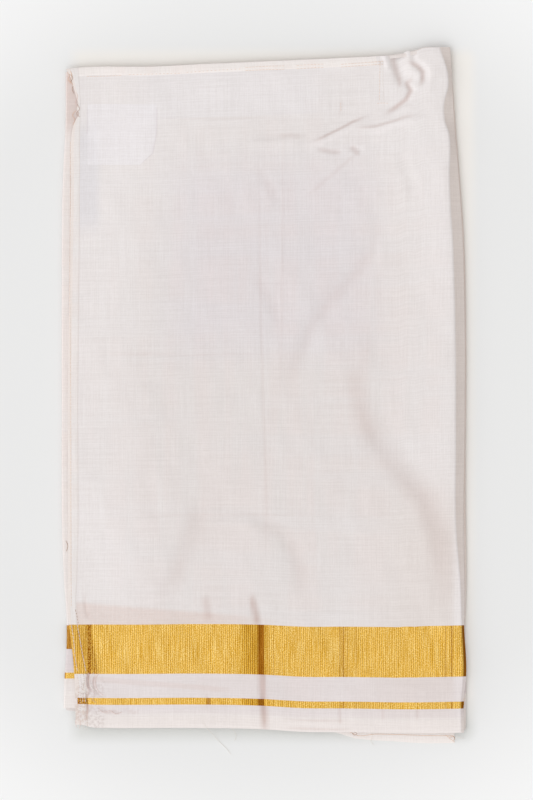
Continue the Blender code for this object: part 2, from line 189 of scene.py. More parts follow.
# Painted shade along the creases: how much darker and pinker the cloth is painted, and below 0
# how much lighter, as painted light; then the widths and points as above.
CREASE_PAINTED_SHADES = (
    (0.52, 5, 5, ((114, 318), (114.6, 305), (117, 297), (119.6, 288), (121.4, 279))),
    (0.50, 3, 3, ((121, 288), (121.6, 282), (122, 276))),
    (-0.80, 3, 3, ((106, 310), (107.4, 303), (109.4, 297), (111, 292))),
    (0.75, 3.6, 3.6, ((127, 301.6), (132, 299), (138, 295.6), (142.4, 290.6), (142.2, 283), (138, 276))),
    (-0.6, 4, 4, ((130, 294), (134, 291), (137, 286), (136, 280))),
    (0.85, 3.4, 3.4, (
        (138, 286.4), (133, 284), (128, 280.4), (131.6, 274), (127.6, 266), (118, 258.6), (106, 250.6),
    )),
    (0.72, 2.0, 2.0, (
        (41, 226.4), (48, 229.2), (58, 234.6), (70, 240.4), (80, 246), (87, 248.6), (96, 252.4),
    )),
    (-0.6, 3.2, 3.2, ((44, 222), (58, 229.6), (72, 236), (84, 241.6))),
    (0.55, 2.0, 2.0, (
        (78, 240), (88, 240.4), (99, 241.4), (110.5, 244.6), (119, 247), (127, 250.4), (140, 251.6),
    )),
    (-0.5, 4, 4, ((92, 235.6), (104, 237.4), (116, 241.6), (128, 245))),
    (0.45, 3.6, 3.6, ((46, 221.6), (53, 220.4), (62, 218.6), (72, 218.4))),
    (0.50, 4, 4, ((76, 223.4), (80.6, 221.6), (83.4, 217.6), (84, 213.6))),
    (0.22, 3, 3, ((88, 222), (66, 202.5), (48, 187), (34, 176))),
    (0.25, 4, 4, ((10, 233), (24, 233.4), (36, 232))),
    (0.16, 2.6, 2.6, ((68.6, 268), (69.6, 262), (68, 254), (66, 248))),
    (0.17, 9, 8, ((102, 172), (101, 150), (97, 131), (85, 111), (69, 95), (43, 63), (28, 24), (22, 0))),
    (0.12, 14, 14, ((98, 66), (95, 44), (88, 22), (84, 0))),
    (0.20, 22, 18, (
        (72, 42), (80, 10), (88, -14), (97, -40), (118, -67), (145, -95), (156, -130), (161, -165),
        (163, -204),
    )),
    (0.14, 12, 10, ((74, 30), (81, 6), (88, -16), (97, -38), (112, -56))),
    (0.12, 24, 16, ((96, -46), (116, -68), (138, -94), (156, -126), (161, -165), (163, -204))),
    (0.20, 12, 12, ((-14, -104), (6, -114), (22, -130), (33, -156), (38, -188))),
    (0.24, 16, 14, ((-52, -84), (-60, -106), (-70, -138), (-80, -164), (-92, -196))),
    (0.14, 7, 7, ((-10, 208), (0, 196), (14, 170))),
    (0.14, 8, 8, ((-12, 116), (0, 96), (10, 74), (18, 54))),
    (0.22, 2.2, 2.2, ((-6, 236), (-5.2, 220), (-4, 140), (-2.9, 60), (0, -30), (2, -100), (-1, -190))),
    (0.16, 1.8, 1.8, ((17, 290), (16.6, 200), (16, 78), (14.2, 0), (14, -40))),
    (0.16, 1.5, 1.5, ((-170, 36.4), (-60, 36), (20, 36.2), (60, 36.4))),
    (0.16, 1.5, 1.5, ((-110, 248.4), (-40, 248.8), (20, 249.4), (44, 249.6))),
    (0.14, 1.5, 1.5, ((-165, -108.4), (-60, -108), (40, -107.6), (150, -108))),
    # painted light between the valleys
    (-0.32, 34, 34, ((-158, -70), (-146, -110), (-130, -140), (-118, -190))),
    (-0.28, 22, 22, ((-34, -104), (-26, -130), (-24, -160), (-26, -200))),
    (-0.30, 34, 34, ((64, -92), (82, -118), (106, -146), (120, -200))),
    (-0.20, 30, 30, ((-90, 280), (-40, 276), (20, 272), (70, 278))),
    (-0.20, 20, 20, ((150, 240), (152, 190), (156, 120), (160, 40))),
    (0.30, 3, 3, ((-162, -176), (-161.4, -188), (-158, -200), (-154, -206))),
    # painted shade on the middle fold through the border, and on the cloth above where it pulls it
    (1.20, 5.5, 6.0, ((-1.4, -228), (-1.6, -248), (-1.2, -262), (-0.4, -276), (0.4, -290), (1, -312))),
    (-0.40, 1.3, 1.3, ((1.8, -240), (1.8, -256), (2.0, -276), (2.6, -312))),
    (1.00, 6, 5, ((-13, -176), (-9.6, -190), (-7.4, -199), (-6, -212))),
    (0.50, 6, 6, ((-54, -178), (-52, -188), (-50.6, -198), (-50, -206))),
    # painted shade and light along the edges of the plies below, pressed through near the selvedge,
    # and along small creases in the border
    (0.35, 1.6, 1.6, ((8, -290), (30, -292), (60, -293.6), (84, -294))),
    (0.40, 1.6, 1.6, ((14, -299), (40, -300.4), (62, -301), (84, -301))),
    (-0.60, 2.4, 2.4, ((16, -295), (40, -296.6), (60, -297.4), (80, -297.6))),
    (0.45, 2.0, 2.4, ((67, -276), (68, -286), (68.6, -300))),
    (0.35, 2.0, 2.4, ((106, -278), (107, -284), (107, -294))),
    (0.35, 2.0, 2.4, ((137, -278), (138, -284), (138, -294))),
    (0.35, 2.4, 2.4, ((-52, -266), (-51, -276), (-50.4, -286))),
    (0.30, 3.0, 3.0, ((-24, -228), (-12, -232), (-4, -238), (0, -246))),
    (0.40, 2.4, 2.4, ((36, -230), (34, -240), (35, -250))),
    (0.30, 2.4, 2.4, ((120, -228), (122, -238), (119, -250))),
    # painted shade along the curls, and painted light beside two of them
    (1.10, 2.2, 2.2, CURLS[0]), (0.90, 2.0, 2.0, CURLS[1]), (0.90, 2.0, 2.0, CURLS[2]),
    (0.55, 2.0, 2.0, CURLS[3]), (0.40, 2.0, 2.0, CURLS[4]),
    (-0.90, 1.5, 1.5, ((-153.4, -248), (-156.2, -254), (-155.6, -262), (-151.6, -269))),
    (-0.80, 1.5, 1.5, ((-148.6, -250), (-151.4, -258), (-150.4, -265), (-144.8, -272))),
)


def curve(table, at, column=1):
    """A table's column, in metres, at places along its first column, on a smooth curve."""
    knots = np.array([row[0] for row in table]) * MM
    values = np.array([row[column] for row in table]) * MM
    slopes = np.gradient(values, knots)
    at = np.clip(at, knots[0], knots[-1])
    i = np.clip(np.searchsorted(knots, at, side="right") - 1, 0, len(knots) - 2)
    span = knots[i + 1] - knots[i]
    t = (at - knots[i]) / span
    return (
        (2 * t**3 - 3 * t**2 + 1) * values[i]
        + (t**3 - 2 * t**2 + t) * span * slopes[i]
        + (3 * t**2 - 2 * t**3) * values[i + 1]
        + (t**3 - t**2) * span * slopes[i + 1]
    )


def smoothstep(t):
    t = np.clip(t, 0, 1)
    return t * t * (3 - 2 * t)


def mix(low, high, share):
    return low + (high - low) * share


def stations(*breaks):
    """Places from the first break to the last. Each break but the last gives the step that follows it."""
    places = []
    for (start, step), (end, _) in zip(breaks, breaks[1:]):
        count = max(1, round((end - start) / step))
        places += [mix(start, end, k / count) for k in range(count)]
    return np.array(places + [breaks[-1][0]])


def crest_x(y):
    return curve(TOP_FOLD, y, 1) - curve(TOP_FOLD, y, 2)


def stack_height(x, y):
    left, middle, crest = (curve(HEIGHTS, y, column) for column in (1, 2, 3))
    rise = smoothstep((x - curve(LEFT_FOLD_EDGE, y) - SIDE_LEVEL) / SIDE_RISE)
    swell = smoothstep((x - crest_x(y) + CREST_RISE) / CREST_RISE)
    dip, width = CREST_ROLL
    roll = np.clip((x - crest_x(y) + width) / width, 0, 1) ** 2
    roll *= smoothstep((y - NO_ROLL_BELOW) / (80 * MM))
    return left + (middle - left) * rise + (crest - middle) * swell - dip * roll


def laid_along(table, x, y):
    """The sum of a table's creases at each place: each one fades towards both its ends."""
    total = np.zeros_like(x)
    for height, left_width, right_width, points in table:
        path = np.array(points, float) * MM
        runs = np.diff(path, axis=0)
        lengths = np.hypot(runs[:, 0], runs[:, 1])
        starts = np.concatenate([[0], np.cumsum(lengths)])
        reach = 1.2 * MM * max(left_width, right_width)
        near = (
            (x > path[:, 0].min() - reach) & (x < path[:, 0].max() + reach)
            & (y > path[:, 1].min() - reach) & (y < path[:, 1].max() + reach)
        )
        px, py = x[near], y[near]
        nearest = np.full(px.shape, np.inf)
        signed = np.zeros(px.shape)
        along = np.zeros(px.shape)
        for (ax, ay), (rx, ry), length, start in zip(path, runs, lengths, starts):
            share = np.clip(((px - ax) * rx + (py - ay) * ry) / length**2, 0, 1)
            dx, dy = px - ax - share * rx, py - ay - share * ry
            distance = np.hypot(dx, dy)
            closer = distance < nearest
            nearest = np.where(closer, distance, nearest)
            signed = np.where(closer, rx * dy - ry * dx, signed)
            along = np.where(closer, start + share * length, along)
        width = np.where(signed > 0, left_width, right_width) * MM
        ends = np.minimum(along, starts[-1] - along) / (0.3 * starts[-1])
        total[near] += height * smoothstep(1 - nearest / width) * smoothstep(ends)
    return total


def ripple(x, y):
    """The faint unevenness of cloth that was pressed once and handled since."""
    waves = (
        # amplitude in mm, wavelengths across and along in mm, phase
        (0.10, 71, 153, 0.4), (0.08, -46, 88, 2.1), (0.06, 31, 57, 4.0), (0.05, 120, -36, 1.3),
        (0.04, -24, -41, 5.2),
    )
    return sum(
        size * MM * np.sin(2 * math.pi * (x / (across * MM) + y / (along * MM)) + phase)
        for size, across, along, phase in waves
    )


def curl(distance):
    return EDGE_CURL * np.clip(1 - distance / CURL_REACH, 0, 1) ** 2


def ply_y(x, up):
    corner = curve(CORNER_RISE, x) * np.clip(1 - up / (28 * MM), 0, 1)
    return mix(curve(BOTTOM_EDGE, x), curve(TOP_EDGE, x), up / PLY_LENGTH) + corner


def hem_rise(across, up):
    """The turned hems stand a little proud of the single cloth, with a rounded inner edge."""
    end = smoothstep((END_HEM - across) / (0.9 * MM)) * smoothstep((across + 0.25 * MM) / (0.6 * MM))
    edge = smoothstep((up - PLY_LENGTH + EDGE_HEM) / (0.9 * MM))
    edge *= smoothstep((EDGE_HEM_END - across) / (6 * MM))
    return HEM_RISE * np.maximum(end, edge)


def surface_height(x, y):
    """Height of the top ply's outer face, away from its hems and its fold."""
    return stack_height(x, y) + laid_along(CREASES, x, y) * MM + ripple(x, y)


def fold_section(turn, crest, slope, top):
    """Round the fold at the right: a slope from the crest down to a narrow rounded edge, then under."""
    sloping = np.clip(turn / SLOPE_SHARE, 0, 1)
    rounding = np.clip((turn - SLOPE_SHARE) / (1 - SLOPE_SHARE), 0, 1) * math.pi
    edge = TAIL_HEIGHT + 2 * EDGE_RADIUS
    x = crest + (slope - EDGE_RADIUS) * sloping + EDGE_RADIUS * np.sin(rounding)
    z = top - (top - edge) * sloping**SLOPE_BOW - EDGE_RADIUS * (1 - np.cos(rounding))
    return x, z


def top_ply(across, up):
    """Outer face of the top ply at a distance across, past PLY_WIDTH round its fold, and up.

    It also gives the weave's own measure across: the threads run straight although the hem doesn't.
    """
    level = ply_y(np.zeros_like(across), up)
    for _ in range(4):
        inner, crest = curve(HEM_INNER_EDGE, level), crest_x(level)
        past_hem = np.clip((across - END_HEM) / (PLY_WIDTH - END_HEM), 0, 1)
        in_hem = mix(curve(HEM_EDGE, level), inner, np.clip(across / END_HEM, 0, 1))
        x = np.where(across < END_HEM, in_hem, mix(inner, crest, past_hem))
        level = ply_y(x, up)
    drop = curl(up) + curl(PLY_LENGTH - up)
    top = surface_height(x, level) + hem_rise(across, up) - drop
    turn = np.clip((across - PLY_WIDTH) / BEND_LENGTH, 0, 1)
    bent_x, bent_z = fold_section(turn, crest, curve(TOP_FOLD, level, 2), top)
    past = across > PLY_WIDTH
    tail = np.clip(across - PLY_WIDTH - BEND_LENGTH, 0, None)
    points = np.stack([np.where(past, bent_x, x) - tail, level, np.where(past, bent_z, top)], axis=-1)
    return points, x - WEAVE_START + np.clip(across - PLY_WIDTH, 0, None)


def build_mesh(name, points, across, up, keep, turn=None, shade=None):
    """A mesh of the kept quads of a grid of points, with the cloth's own metres as its UV map.

    Its attribute "turn" marks the folds, where the materials paint shade: 0 where the cloth lies flat,
    and rising round a fold. Its attribute "shade" is painted shade, how much darker the cloth is painted
    in creases and recesses, and below 0 painted light, how much lighter.
    """
    rows, columns = points.shape[:2]
    index = np.arange(rows * columns).reshape(rows, columns)
    quads = np.stack([index[:-1, :-1], index[:-1, 1:], index[1:, 1:], index[1:, :-1]], axis=-1)[keep]
    used, faces = np.unique(quads, return_inverse=True)
    faces = faces.reshape(-1, 4)
    mesh = bpy.data.meshes.new(name)
    mesh.vertices.add(len(used))
    mesh.vertices.foreach_set("co", points.reshape(-1, 3)[used].astype(np.float32).ravel())
    mesh.loops.add(faces.size)
    mesh.loops.foreach_set("vertex_index", faces.astype(np.int32).ravel())
    mesh.polygons.add(len(faces))
    mesh.polygons.foreach_set("loop_start", np.arange(0, faces.size, 4, dtype=np.int32))
    mesh.polygons.foreach_set("loop_total", np.full(len(faces), 4, np.int32))
    mesh.update(calc_edges=True)
    layer = mesh.uv_layers.new(name="cloth")
    flat = np.stack([across.ravel(), up.ravel()], axis=-1)[used][faces.ravel()]
    layer.data.foreach_set("uv", flat.astype(np.float32).ravel())
    for label, values in (("turn", turn), ("shade", shade)):
        values = np.zeros(points.shape[:2]) if values is None else values
        attribute = mesh.attributes.new(label, "FLOAT", "POINT")
        attribute.data.foreach_set("value", values.ravel()[used].astype(np.float32))
    mesh.shade_smooth()
    edge_of_loop = np.empty(len(mesh.loops), np.int32)
    mesh.loops.foreach_get("edge_index", edge_of_loop)
    borders = np.bincount(edge_of_loop, minlength=len(mesh.edges)) == 1
    mesh.attributes.new("sharp_edge", "BOOLEAN", "EDGE").data.foreach_set("value", borders)
    return mesh


def add_piece(name, mesh, material, slot, *nodes):
    piece = bpy.data.objects.new(name, mesh)
    bpy.context.scene.collection.objects.link(piece)
    mesh.materials.clear()
    mesh.materials.append(material)
    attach(piece, "root")
    if nodes:
        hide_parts(*nodes)
    return piece


def thicken(piece, thickness=CLOTH):
    solid = piece.modifiers.new("thickness", "SOLIDIFY")
    solid.thickness = thickness
    solid.offset = -1
    return piece


# --- Materials ---------------------------------------------------------------


class Value:
    """What a shader node gives. Arithmetic on it adds the nodes that work it out."""

    def __init__(self, nodes, socket):
        self.nodes, self.socket = nodes, socket

    def __add__(self, other):
        return self.nodes.math("ADD", self, other)

    def __sub__(self, other):
        return self.nodes.math("SUBTRACT", self, other)

    def __rsub__(self, other):
        return self.nodes.math("SUBTRACT", other, self)

    def __mul__(self, other):
        return self.nodes.math("MULTIPLY", self, other)

    def __truediv__(self, other):
        return self.nodes.math("DIVIDE", self, other)

    def __pow__(self, other):
        return self.nodes.math("POWER", self, other)

    def __abs__(self):
        return self.nodes.math("ABSOLUTE", self)

    __radd__ = __add__

    def ramp(self, low, high, kind="SMOOTHSTEP"):
        """0 at low, 1 at high, and smooth or linear between."""
        node = self.nodes.add("ShaderNodeMapRange", interpolation_type=kind)
        for name, value in (("Value", self), ("From Min", low), ("From Max", high)):
            self.nodes.put(node.inputs[name], value)
        return Value(self.nodes, node.outputs["Result"])

    def fall(self, low, high):
        """1 at low, 0 at high, smooth between."""
        return 1 - self.ramp(low, high)

    def between(self, low, high, soft):
        """1 between low and high, falling to 0 over soft outside them."""
        return self.ramp(low - soft, low) * self.ramp(high + soft, high)


class Nodes:
    """A short way to write the node tree of a material or a world, whose last node is named."""

    def __init__(self, owner, last="Principled BSDF"):
        owner.use_nodes = True
        self.owner, self.tree = owner, owner.node_tree
        self.last = self.tree.nodes[last]

    def put(self, socket, value):
        if isinstance(value, Value):
            self.tree.links.new(value.socket, socket)
        else:
            socket.default_value = value

    def add(self, kind, **settings):
        node = self.tree.nodes.new(kind)
        for key, value in settings.items():
            if key in node.inputs:
                self.put(node.inputs[key], value)
            else:
                setattr(node, key, value)
        return node

    def take(self, kind, output=0, **settings):
        """Adds a node and gives one of its outputs."""
        return Value(self, self.add(kind, **settings).outputs[output])

    def operate(self, kind, operation, values, output=0):
        node = self.add(kind, operation=operation)
        for socket, value in zip(node.inputs, values):
            self.put(socket, value)
        return Value(self, node.outputs[output])

    def math(self, operation, *values):
        return self.operate("ShaderNodeMath", operation, values)

    def vector(self, operation, *values, output="Vector"):
        return self.operate("ShaderNodeVectorMath", operation, values, output)

    def largest(self, a, b):
        return self.math("MAXIMUM", a, b)

    def mix(self, share, a, b, blend="MIX"):
        node = self.add("ShaderNodeMix", data_type="RGBA", blend_type=blend)
        self.put(node.inputs["Factor"], share)
        colours = [socket for socket in node.inputs if socket.type == "RGBA"]
        for socket, value in zip(colours, (a, b)):
            self.put(socket, value if isinstance(value, Value) else (*value, 1.0))
        return Value(self, [socket for socket in node.outputs if socket.type == "RGBA"][0])

    def tint(self, share, colour, factor):
        """The colour multiplied by a factor, by a share of 0 to 1."""
        return self.mix(share, colour, factor, "MULTIPLY")

    def finish(self, **values):
        """Sets the last node's inputs: Base_Color is its Base Color."""
        for key, value in values.items():
            self.put(self.last.inputs[key.replace("_", " ")], value)
        return self.owner


class Shader(Nodes):
    """A cloth or thread material. It knows the place on the cloth, across and up, in millimetres."""

    def __init__(self, name):
        super().__init__(bpy.data.materials.new(name))
        uv = self.take("ShaderNodeUVMap", "UV", uv_map="cloth")
        self.cloth = self.take("ShaderNodeVectorMath", operation="SCALE", Vector=uv, Scale=1 / MM)
        apart = self.add("ShaderNodeSeparateXYZ", Vector=self.cloth)
        self.across, self.up = (Value(self, socket) for socket in apart.outputs[:2])

    def attribute(self, name):
        return self.take("ShaderNodeAttribute", "Fac", attribute_name=name)

    def noise(self, scale_across, scale_up, detail=2.0, rough=0.5, offset=0.0):
        """Noise whose features are about 1/scale millimetres across and up."""
        place = self.take(
            "ShaderNodeMapping", Vector=self.cloth, Scale=(scale_across, scale_up, 1), Location=[offset] * 3
        )
        return self.take("ShaderNodeTexNoise", "Fac", Vector=place, Scale=1.0, Detail=detail, Roughness=rough)

    def bump(self, height, distance, strength):
        return self.take("ShaderNodeBump", Height=height, Distance=distance, Strength=strength)


SILK = (0.738, 0.693, 0.679)
LOWER_SILK = (0.775, 0.716, 0.690)
# the silk's colour where painted light brightens it
PAINTED_LIGHT_SILK = (0.804, 0.764, 0.757)
HEM_SILK = (0.845, 0.795, 0.770)
GOLD_GLOW = (0.65, 0.466, 0.39)
# Colour factors: painted shade in creases and recesses, painted light, and painted shade round folds
PAINTED_SHADE_FACTOR = (0.80, 0.70, 0.67)
PAINTED_LIGHT_FACTOR = (1.07, 1.07, 1.08)
FOLD_SHADE = (0.93, 0.885, 0.845)


def silk_weave(shader):
    """Slubbed silk: uneven threads both ways. 0.5 is even cloth."""
    warp = shader.noise(0.95, 0.022, 3.0, 0.62)
    weft = shader.noise(0.018, 0.8, 3.0, 0.62, 7.0)
    fine_warp = shader.noise(2.4, 0.16, 2.0, 0.6, 3.0)
    fine_weft = shader.noise(0.16, 2.4, 2.0, 0.6, 5.0)
    slubs = (warp + weft - 1.0) * 0.62
    threads = (fine_warp + fine_weft - 1.0) * 0.5
    return slubs + threads + 0.5


def silk_material(name, base=SILK, tints=None, roughness=0.50):
    shader = Shader(name)
    warp_band = shader.noise(0.05, 0.004, 2.0, 0.5, 11.0)
    weft_band = shader.noise(0.004, 0.045, 2.0, 0.5, 23.0)
    pink = shader.tint(1.0, base, (1.012, 0.992, 0.988))
    cool = shader.tint(1.0, base, (1.0, 1.012, 1.022))
    colour = shader.mix(warp_band.ramp(0.38, 0.62), base, pink)
    colour = shader.mix(weft_band.ramp(0.42, 0.66) * 0.6, colour, cool)
    if tints:
        colour = tints(shader, colour)
    # Painted shade from the shade attribute, and painted light where it is below 0
    painted_shade = shader.attribute("shade")
    colour = shader.tint(painted_shade, colour, PAINTED_SHADE_FACTOR)
    painted_light = painted_shade * -1.0
    colour = shader.tint(painted_light, colour, PAINTED_LIGHT_FACTOR)
    # Painted shade round the folds, weaker towards the selvedge
    turned = shader.attribute("turn")
    shade = turned.ramp(0.0, 0.14) * (shader.up.ramp(50, 170) * 0.6 + 0.4)
    colour = shader.tint(shade, colour, FOLD_SHADE)
    weave = silk_weave(shader)
    dark = shader.tint(1.0, colour, (0.93, 0.917, 0.908))
    light = shader.tint(1.0, colour, (1.045, 1.045, 1.045))
    colour = shader.mix(weave.ramp(0.22, 0.78), dark, light)
    return shader.finish(
        Base_Color=colour, Normal=shader.bump(weave, 0.00016, 0.6), Roughness=roughness,
        Specular_IOR_Level=0.35, Sheen_Weight=0.1, Sheen_Roughness=0.4, Sheen_Tint=(1.0, 0.96, 0.95, 1.0),
    )


# How the label lies under the top ply, which leans in at the lower end of its right edge. Millimetres.
LABEL = {"left": 21.0, "low": 513.0, "width": 62.0, "height": 54.5, "corner": 10.0, "lean": 4.5}


def label_mask(shader, grow=0.0, soft=0.8):
    """1 over the blank label that lies under the top ply, with its lower right corner cut off."""
    lean = shader.up.ramp(LABEL["low"], LABEL["low"] + 34) * LABEL["lean"]
    right = LABEL["left"] + LABEL["width"] - LABEL["lean"] + lean
    inside = (shader.across - right).fall(grow - soft, grow + soft) * shader.up.between(
        LABEL["low"] - grow, LABEL["low"] + LABEL["height"] + grow, soft
    )
    inside *= shader.across.ramp(LABEL["left"] - grow - soft, LABEL["left"] - grow + soft)
    slant = shader.across - right - (shader.up - LABEL["low"])
    return inside * slant.fall(grow - LABEL["corner"] - soft, grow - LABEL["corner"] + soft)


def top_tints(shader, colour):
    """What shows through the thin top ply (gold below, sewn label, doubled cloth), and painted light and
    shade.
    """
    # Painted light: brighter away from the middle of the panel
    aside = abs((shader.across - 190.0) / 175.0)
    above = abs((shader.up - 290.0) / 300.0)
    away = aside ** 2.0 + above ** 2.0
    colour = shader.mix(away.ramp(0.15, 1.25), colour, shader.mix(0.75, colour, PAINTED_LIGHT_SILK))
    # Painted shade at the lower right of the panel
    low_right_shade = shader.across.between(318, 352, 70) * shader.up.between(60, 165, 90)
    low_right_shade *= 0.75 - shader.across.ramp(347, 354) * 0.75
    colour = shader.mix(low_right_shade, colour, (0.715, 0.652, 0.622))
    cool = shader.across.between(125, 250, 55) * shader.up.between(370, 480, 60)
    colour = shader.tint(cool, colour, (0.985, 0.983, 1.012))
    # The turned-in facing below the top edge is cooler, and ends in a line
    facing = shader.up.ramp(552.6, 554.6) * shader.across.between(86, 215, 34)
    colour = shader.mix(facing * 0.55, colour, (0.775, 0.742, 0.748))
    # Gold of the plies below, just above the band, and slantwise below it
    speckle = shader.noise(0.45, 0.45, 2.0, 0.6, 31.0).ramp(0.2, 0.8)
    lean = shader.up + shader.across * 0.085
    glow = lean.between(BAND[1] / MM, BAND[1] / MM + 18.5, 5.0)
    glow *= shader.across.fall(110, 215)
    glow *= speckle * 0.14 + 0.26
    colour = shader.mix(glow, colour, GOLD_GLOW)
    drift = shader.up + shader.across * 0.082
    streak = drift.between(45.5, 48.0, 2.2) * shader.across.between(30, 135, 22)
    colour = shader.mix(streak * 0.16, colour, GOLD_GLOW)
    # Lilac between the golds, cream selvedge
    lilac = shader.up.between(14.0, BAND[0] / MM, 2.0)
    colour = shader.tint(lilac * 0.8, colour, (0.955, 0.925, 0.93))
    cream = shader.up.fall(8.5, 17.5)
    colour = shader.mix(cream * 0.8, colour, (0.815, 0.752, 0.725))
    # Painted shade of the puckers beside the lower end of the end hem, in mottled patches
    pucker_shade = shader.across.between(12, 32, 9) * shader.up.fall(40, 50)
    pucker_shade *= shader.noise(0.36, 0.3, 3.0, 0.65, 47.0).ramp(0.42, 0.62)
    colour = shader.mix(pucker_shade * 0.5, colour, (0.58, 0.5, 0.475))
    # Painted shadow beside the blank label at its left, then the label
    label_shadow = shader.across.between(14, 26, 10) * shader.up.between(470, 535, 28)
    colour = shader.mix(label_shadow * 0.75, colour, (0.715, 0.692, 0.712))
    inside = label_mask(shader)
    colour = shader.mix(inside * 0.6, colour, (0.815, 0.785, 0.805))
    rim = label_mask(shader, 0.9) - label_mask(shader, -0.5)
    rim *= shader.up.fall(562, 566)
    shown = shader.largest(
        shader.across.ramp(66, 74), shader.across.fall(22, 24) * shader.up.ramp(538, 544)
    )
    rim *= shown
    return shader.mix(rim * 0.3, colour, (0.6, 0.535, 0.565))


ZARI_DARK = (0.50, 0.235, 0.012)
ZARI = (0.87, 0.540, 0.085)
ZARI_LIGHT = (1.0, 0.80, 0.36)
ZARI_LINES = (  # darker lines, painted shade of creases: where, half width, softness, share. Millimetres.
    (248.3, 0.25, 0.7, 0.35), (251.2, 0.5, 0.8, 0.42), (254.6, 0.2, 0.7, 0.22), (343.0, 0.3, 0.8, 0.28),
    (348.6, 0.5, 0.8, 0.42), (262.5, 0.2, 0.8, 0.18), (181.8, 0.2, 0.6, 0.18), (184.0, 0.2, 0.6, 0.15),
    (188.2, 0.2, 0.6, 0.22),
)


def zari_material(name):
    """Gold thread on silk: ribs along the cloth, crossed by fine threads, speckled where silk shows.

    With painted shade beside the end hem, round the folds and along the creases.
    """
    shader = Shader(name)
    rib_drift = shader.noise(0.1, 0.012, 2.0, 0.5, 41.0) * 5.0
    rib = shader.math("SINE", shader.across * (2 * math.pi / 1.9) + rib_drift)
    speckle = shader.noise(1.0, 1.2, 3.0, 0.7, 9.0)
    streak = shader.noise(0.9, 0.035, 2.0, 0.6, 17.0)
    cross = shader.noise(0.05, 0.9, 2.0, 0.6, 13.0)
    shade = rib * 0.16 + speckle * 0.8
    shade += streak * 0.36
    shade += cross * 0.22
    colour = shader.mix(shade.ramp(0.39, 0.99), ZARI_DARK, ZARI)
    silk_specks = (speckle + streak * 0.4).ramp(0.66, 0.86)
    colour = shader.mix(silk_specks * 0.75, colour, ZARI_LIGHT)
    # Painted shade: the border is dark where it goes under the end hem, along the hem's slanting inner edge
    slant = shader.across + shader.up * 0.186
    in_band = shader.up.ramp(38, 40)
    wedge = slant.fall(38.8, 41.4)
    ribbed = rib.ramp(0.4, -0.6) * 0.34 + 0.4
    ribbed *= slant.ramp(33, 37) * 0.45 + 0.55
    wedge *= ribbed
    wedge = shader.largest(wedge, shader.across.between(21.4, 23.8, 1.5) * 0.95)
    in_hem = slant.fall(28.8, 29.6) * 0.2
    wedge *= 1 - in_hem
    stripe_start = shader.across.fall(18.5, 24.0)
    dark = wedge * in_band + stripe_start * (1 - in_band)
    patches = shader.noise(0.75, 0.55, 3.0, 0.7, 53.0).ramp(0.42, 0.6)
    mottle = patches * 0.8 + 0.28
    dark *= mottle
    # Painted shade on the middle fold, and deeper gold painted as shade on both sides of it
    fold = shader.across.between(175.0, 179.2, 1.4)
    dark = shader.largest(dark, fold * 0.86)
    pressed = shader.across.between(166.0, 176.0, 9.0) * rib.ramp(0.4, -0.6)
    dark = shader.largest(dark, pressed * 0.42)
    deep_shade = shader.across.between(164, 177, 11) * 0.5 + wedge * in_band * 0.4
    colour = shader.tint(deep_shade, colour, (0.78, 0.64, 0.05))
    for place, half, soft, share in ZARI_LINES:
        line = shader.across.between(place - half, place + half, soft) * share
        dark = shader.largest(dark, line)
    # Painted shade along a small crease across the stripe
    in_stripe = shader.up.fall(38, 40)
    line = shader.across.between(128.6, 131.0, 1.2) * in_stripe
    dark = shader.largest(dark, line * 0.6)
    # Painted shade on the gold of the plies below, near their left folds
    turned = shader.attribute("turn").ramp(0.02, 0.1)
    dark = shader.largest(dark, turned * 0.9)
    colour = shader.tint(dark, colour, (0.38, 0.18, 0.01))
    height = rib * 0.22 + speckle
    height += streak * 0.6
    return shader.finish(
        Base_Color=colour, Normal=shader.bump(height, 0.00022, 0.7), Roughness=0.46, Metallic=0.86,
        Specular_IOR_Level=0.25, Specular_Tint=(1.0, 0.74, 0.16, 1.0),
    )


def hem_tints(shader, colour):
    """The end hem: a peach edge, painted shade on its side by the ply, and darker blotches at its lower end.
    """
    edge = shader.across.fall(2.2, 3.6)
    colour = shader.mix(edge * 0.7, colour, (0.81, 0.73, 0.685))
    # Painted shade along the hem's inner edge, beside the ply
    inner = shader.across.ramp(7.6, 8.8)
    colour = shader.mix(inner * 0.35, colour, (0.74, 0.655, 0.635))
    low = shader.up.fall(28, 50)
    blotch = shader.noise(0.42, 0.34, 3.0, 0.65, 37.0).ramp(0.42, 0.6)
    low *= blotch * 0.65 + 0.12
    return shader.mix(low, colour, (0.665, 0.56, 0.505))


def lower_tints(shader, colour):
    """The plies below: cream near their selvedge, painted light at the free end, lilac between the golds."""
    free_end = shader.across.ramp(1600, 1700)
    cream = shader.up.fall(12, 20)
    # Painted light: the cream stronger at the lowest ply's free end
    cream *= free_end * 0.5 + 0.22
    colour = shader.mix(cream, colour, (0.95, 0.9, 0.872))
    lilac = shader.up.between(33, 54, 1.0) * (1 - free_end)
    return shader.tint(lilac, colour, (0.9, 0.875, 0.905))


def plain_material(name, colour, roughness, sheen=0.0):
    """Thread and tape: one colour with a fine uneven grain."""
    shader = Shader(name)
    grain = shader.noise(1.5, 1.5, 3.0, 0.6)
    darker = tuple(0.86 * c for c in colour)
    return shader.finish(
        Base_Color=shader.mix(grain.ramp(0.3, 0.7), darker, colour), Roughness=roughness, Sheen_Weight=sheen
    )


# --- The top ply -------------------------------------------------------------


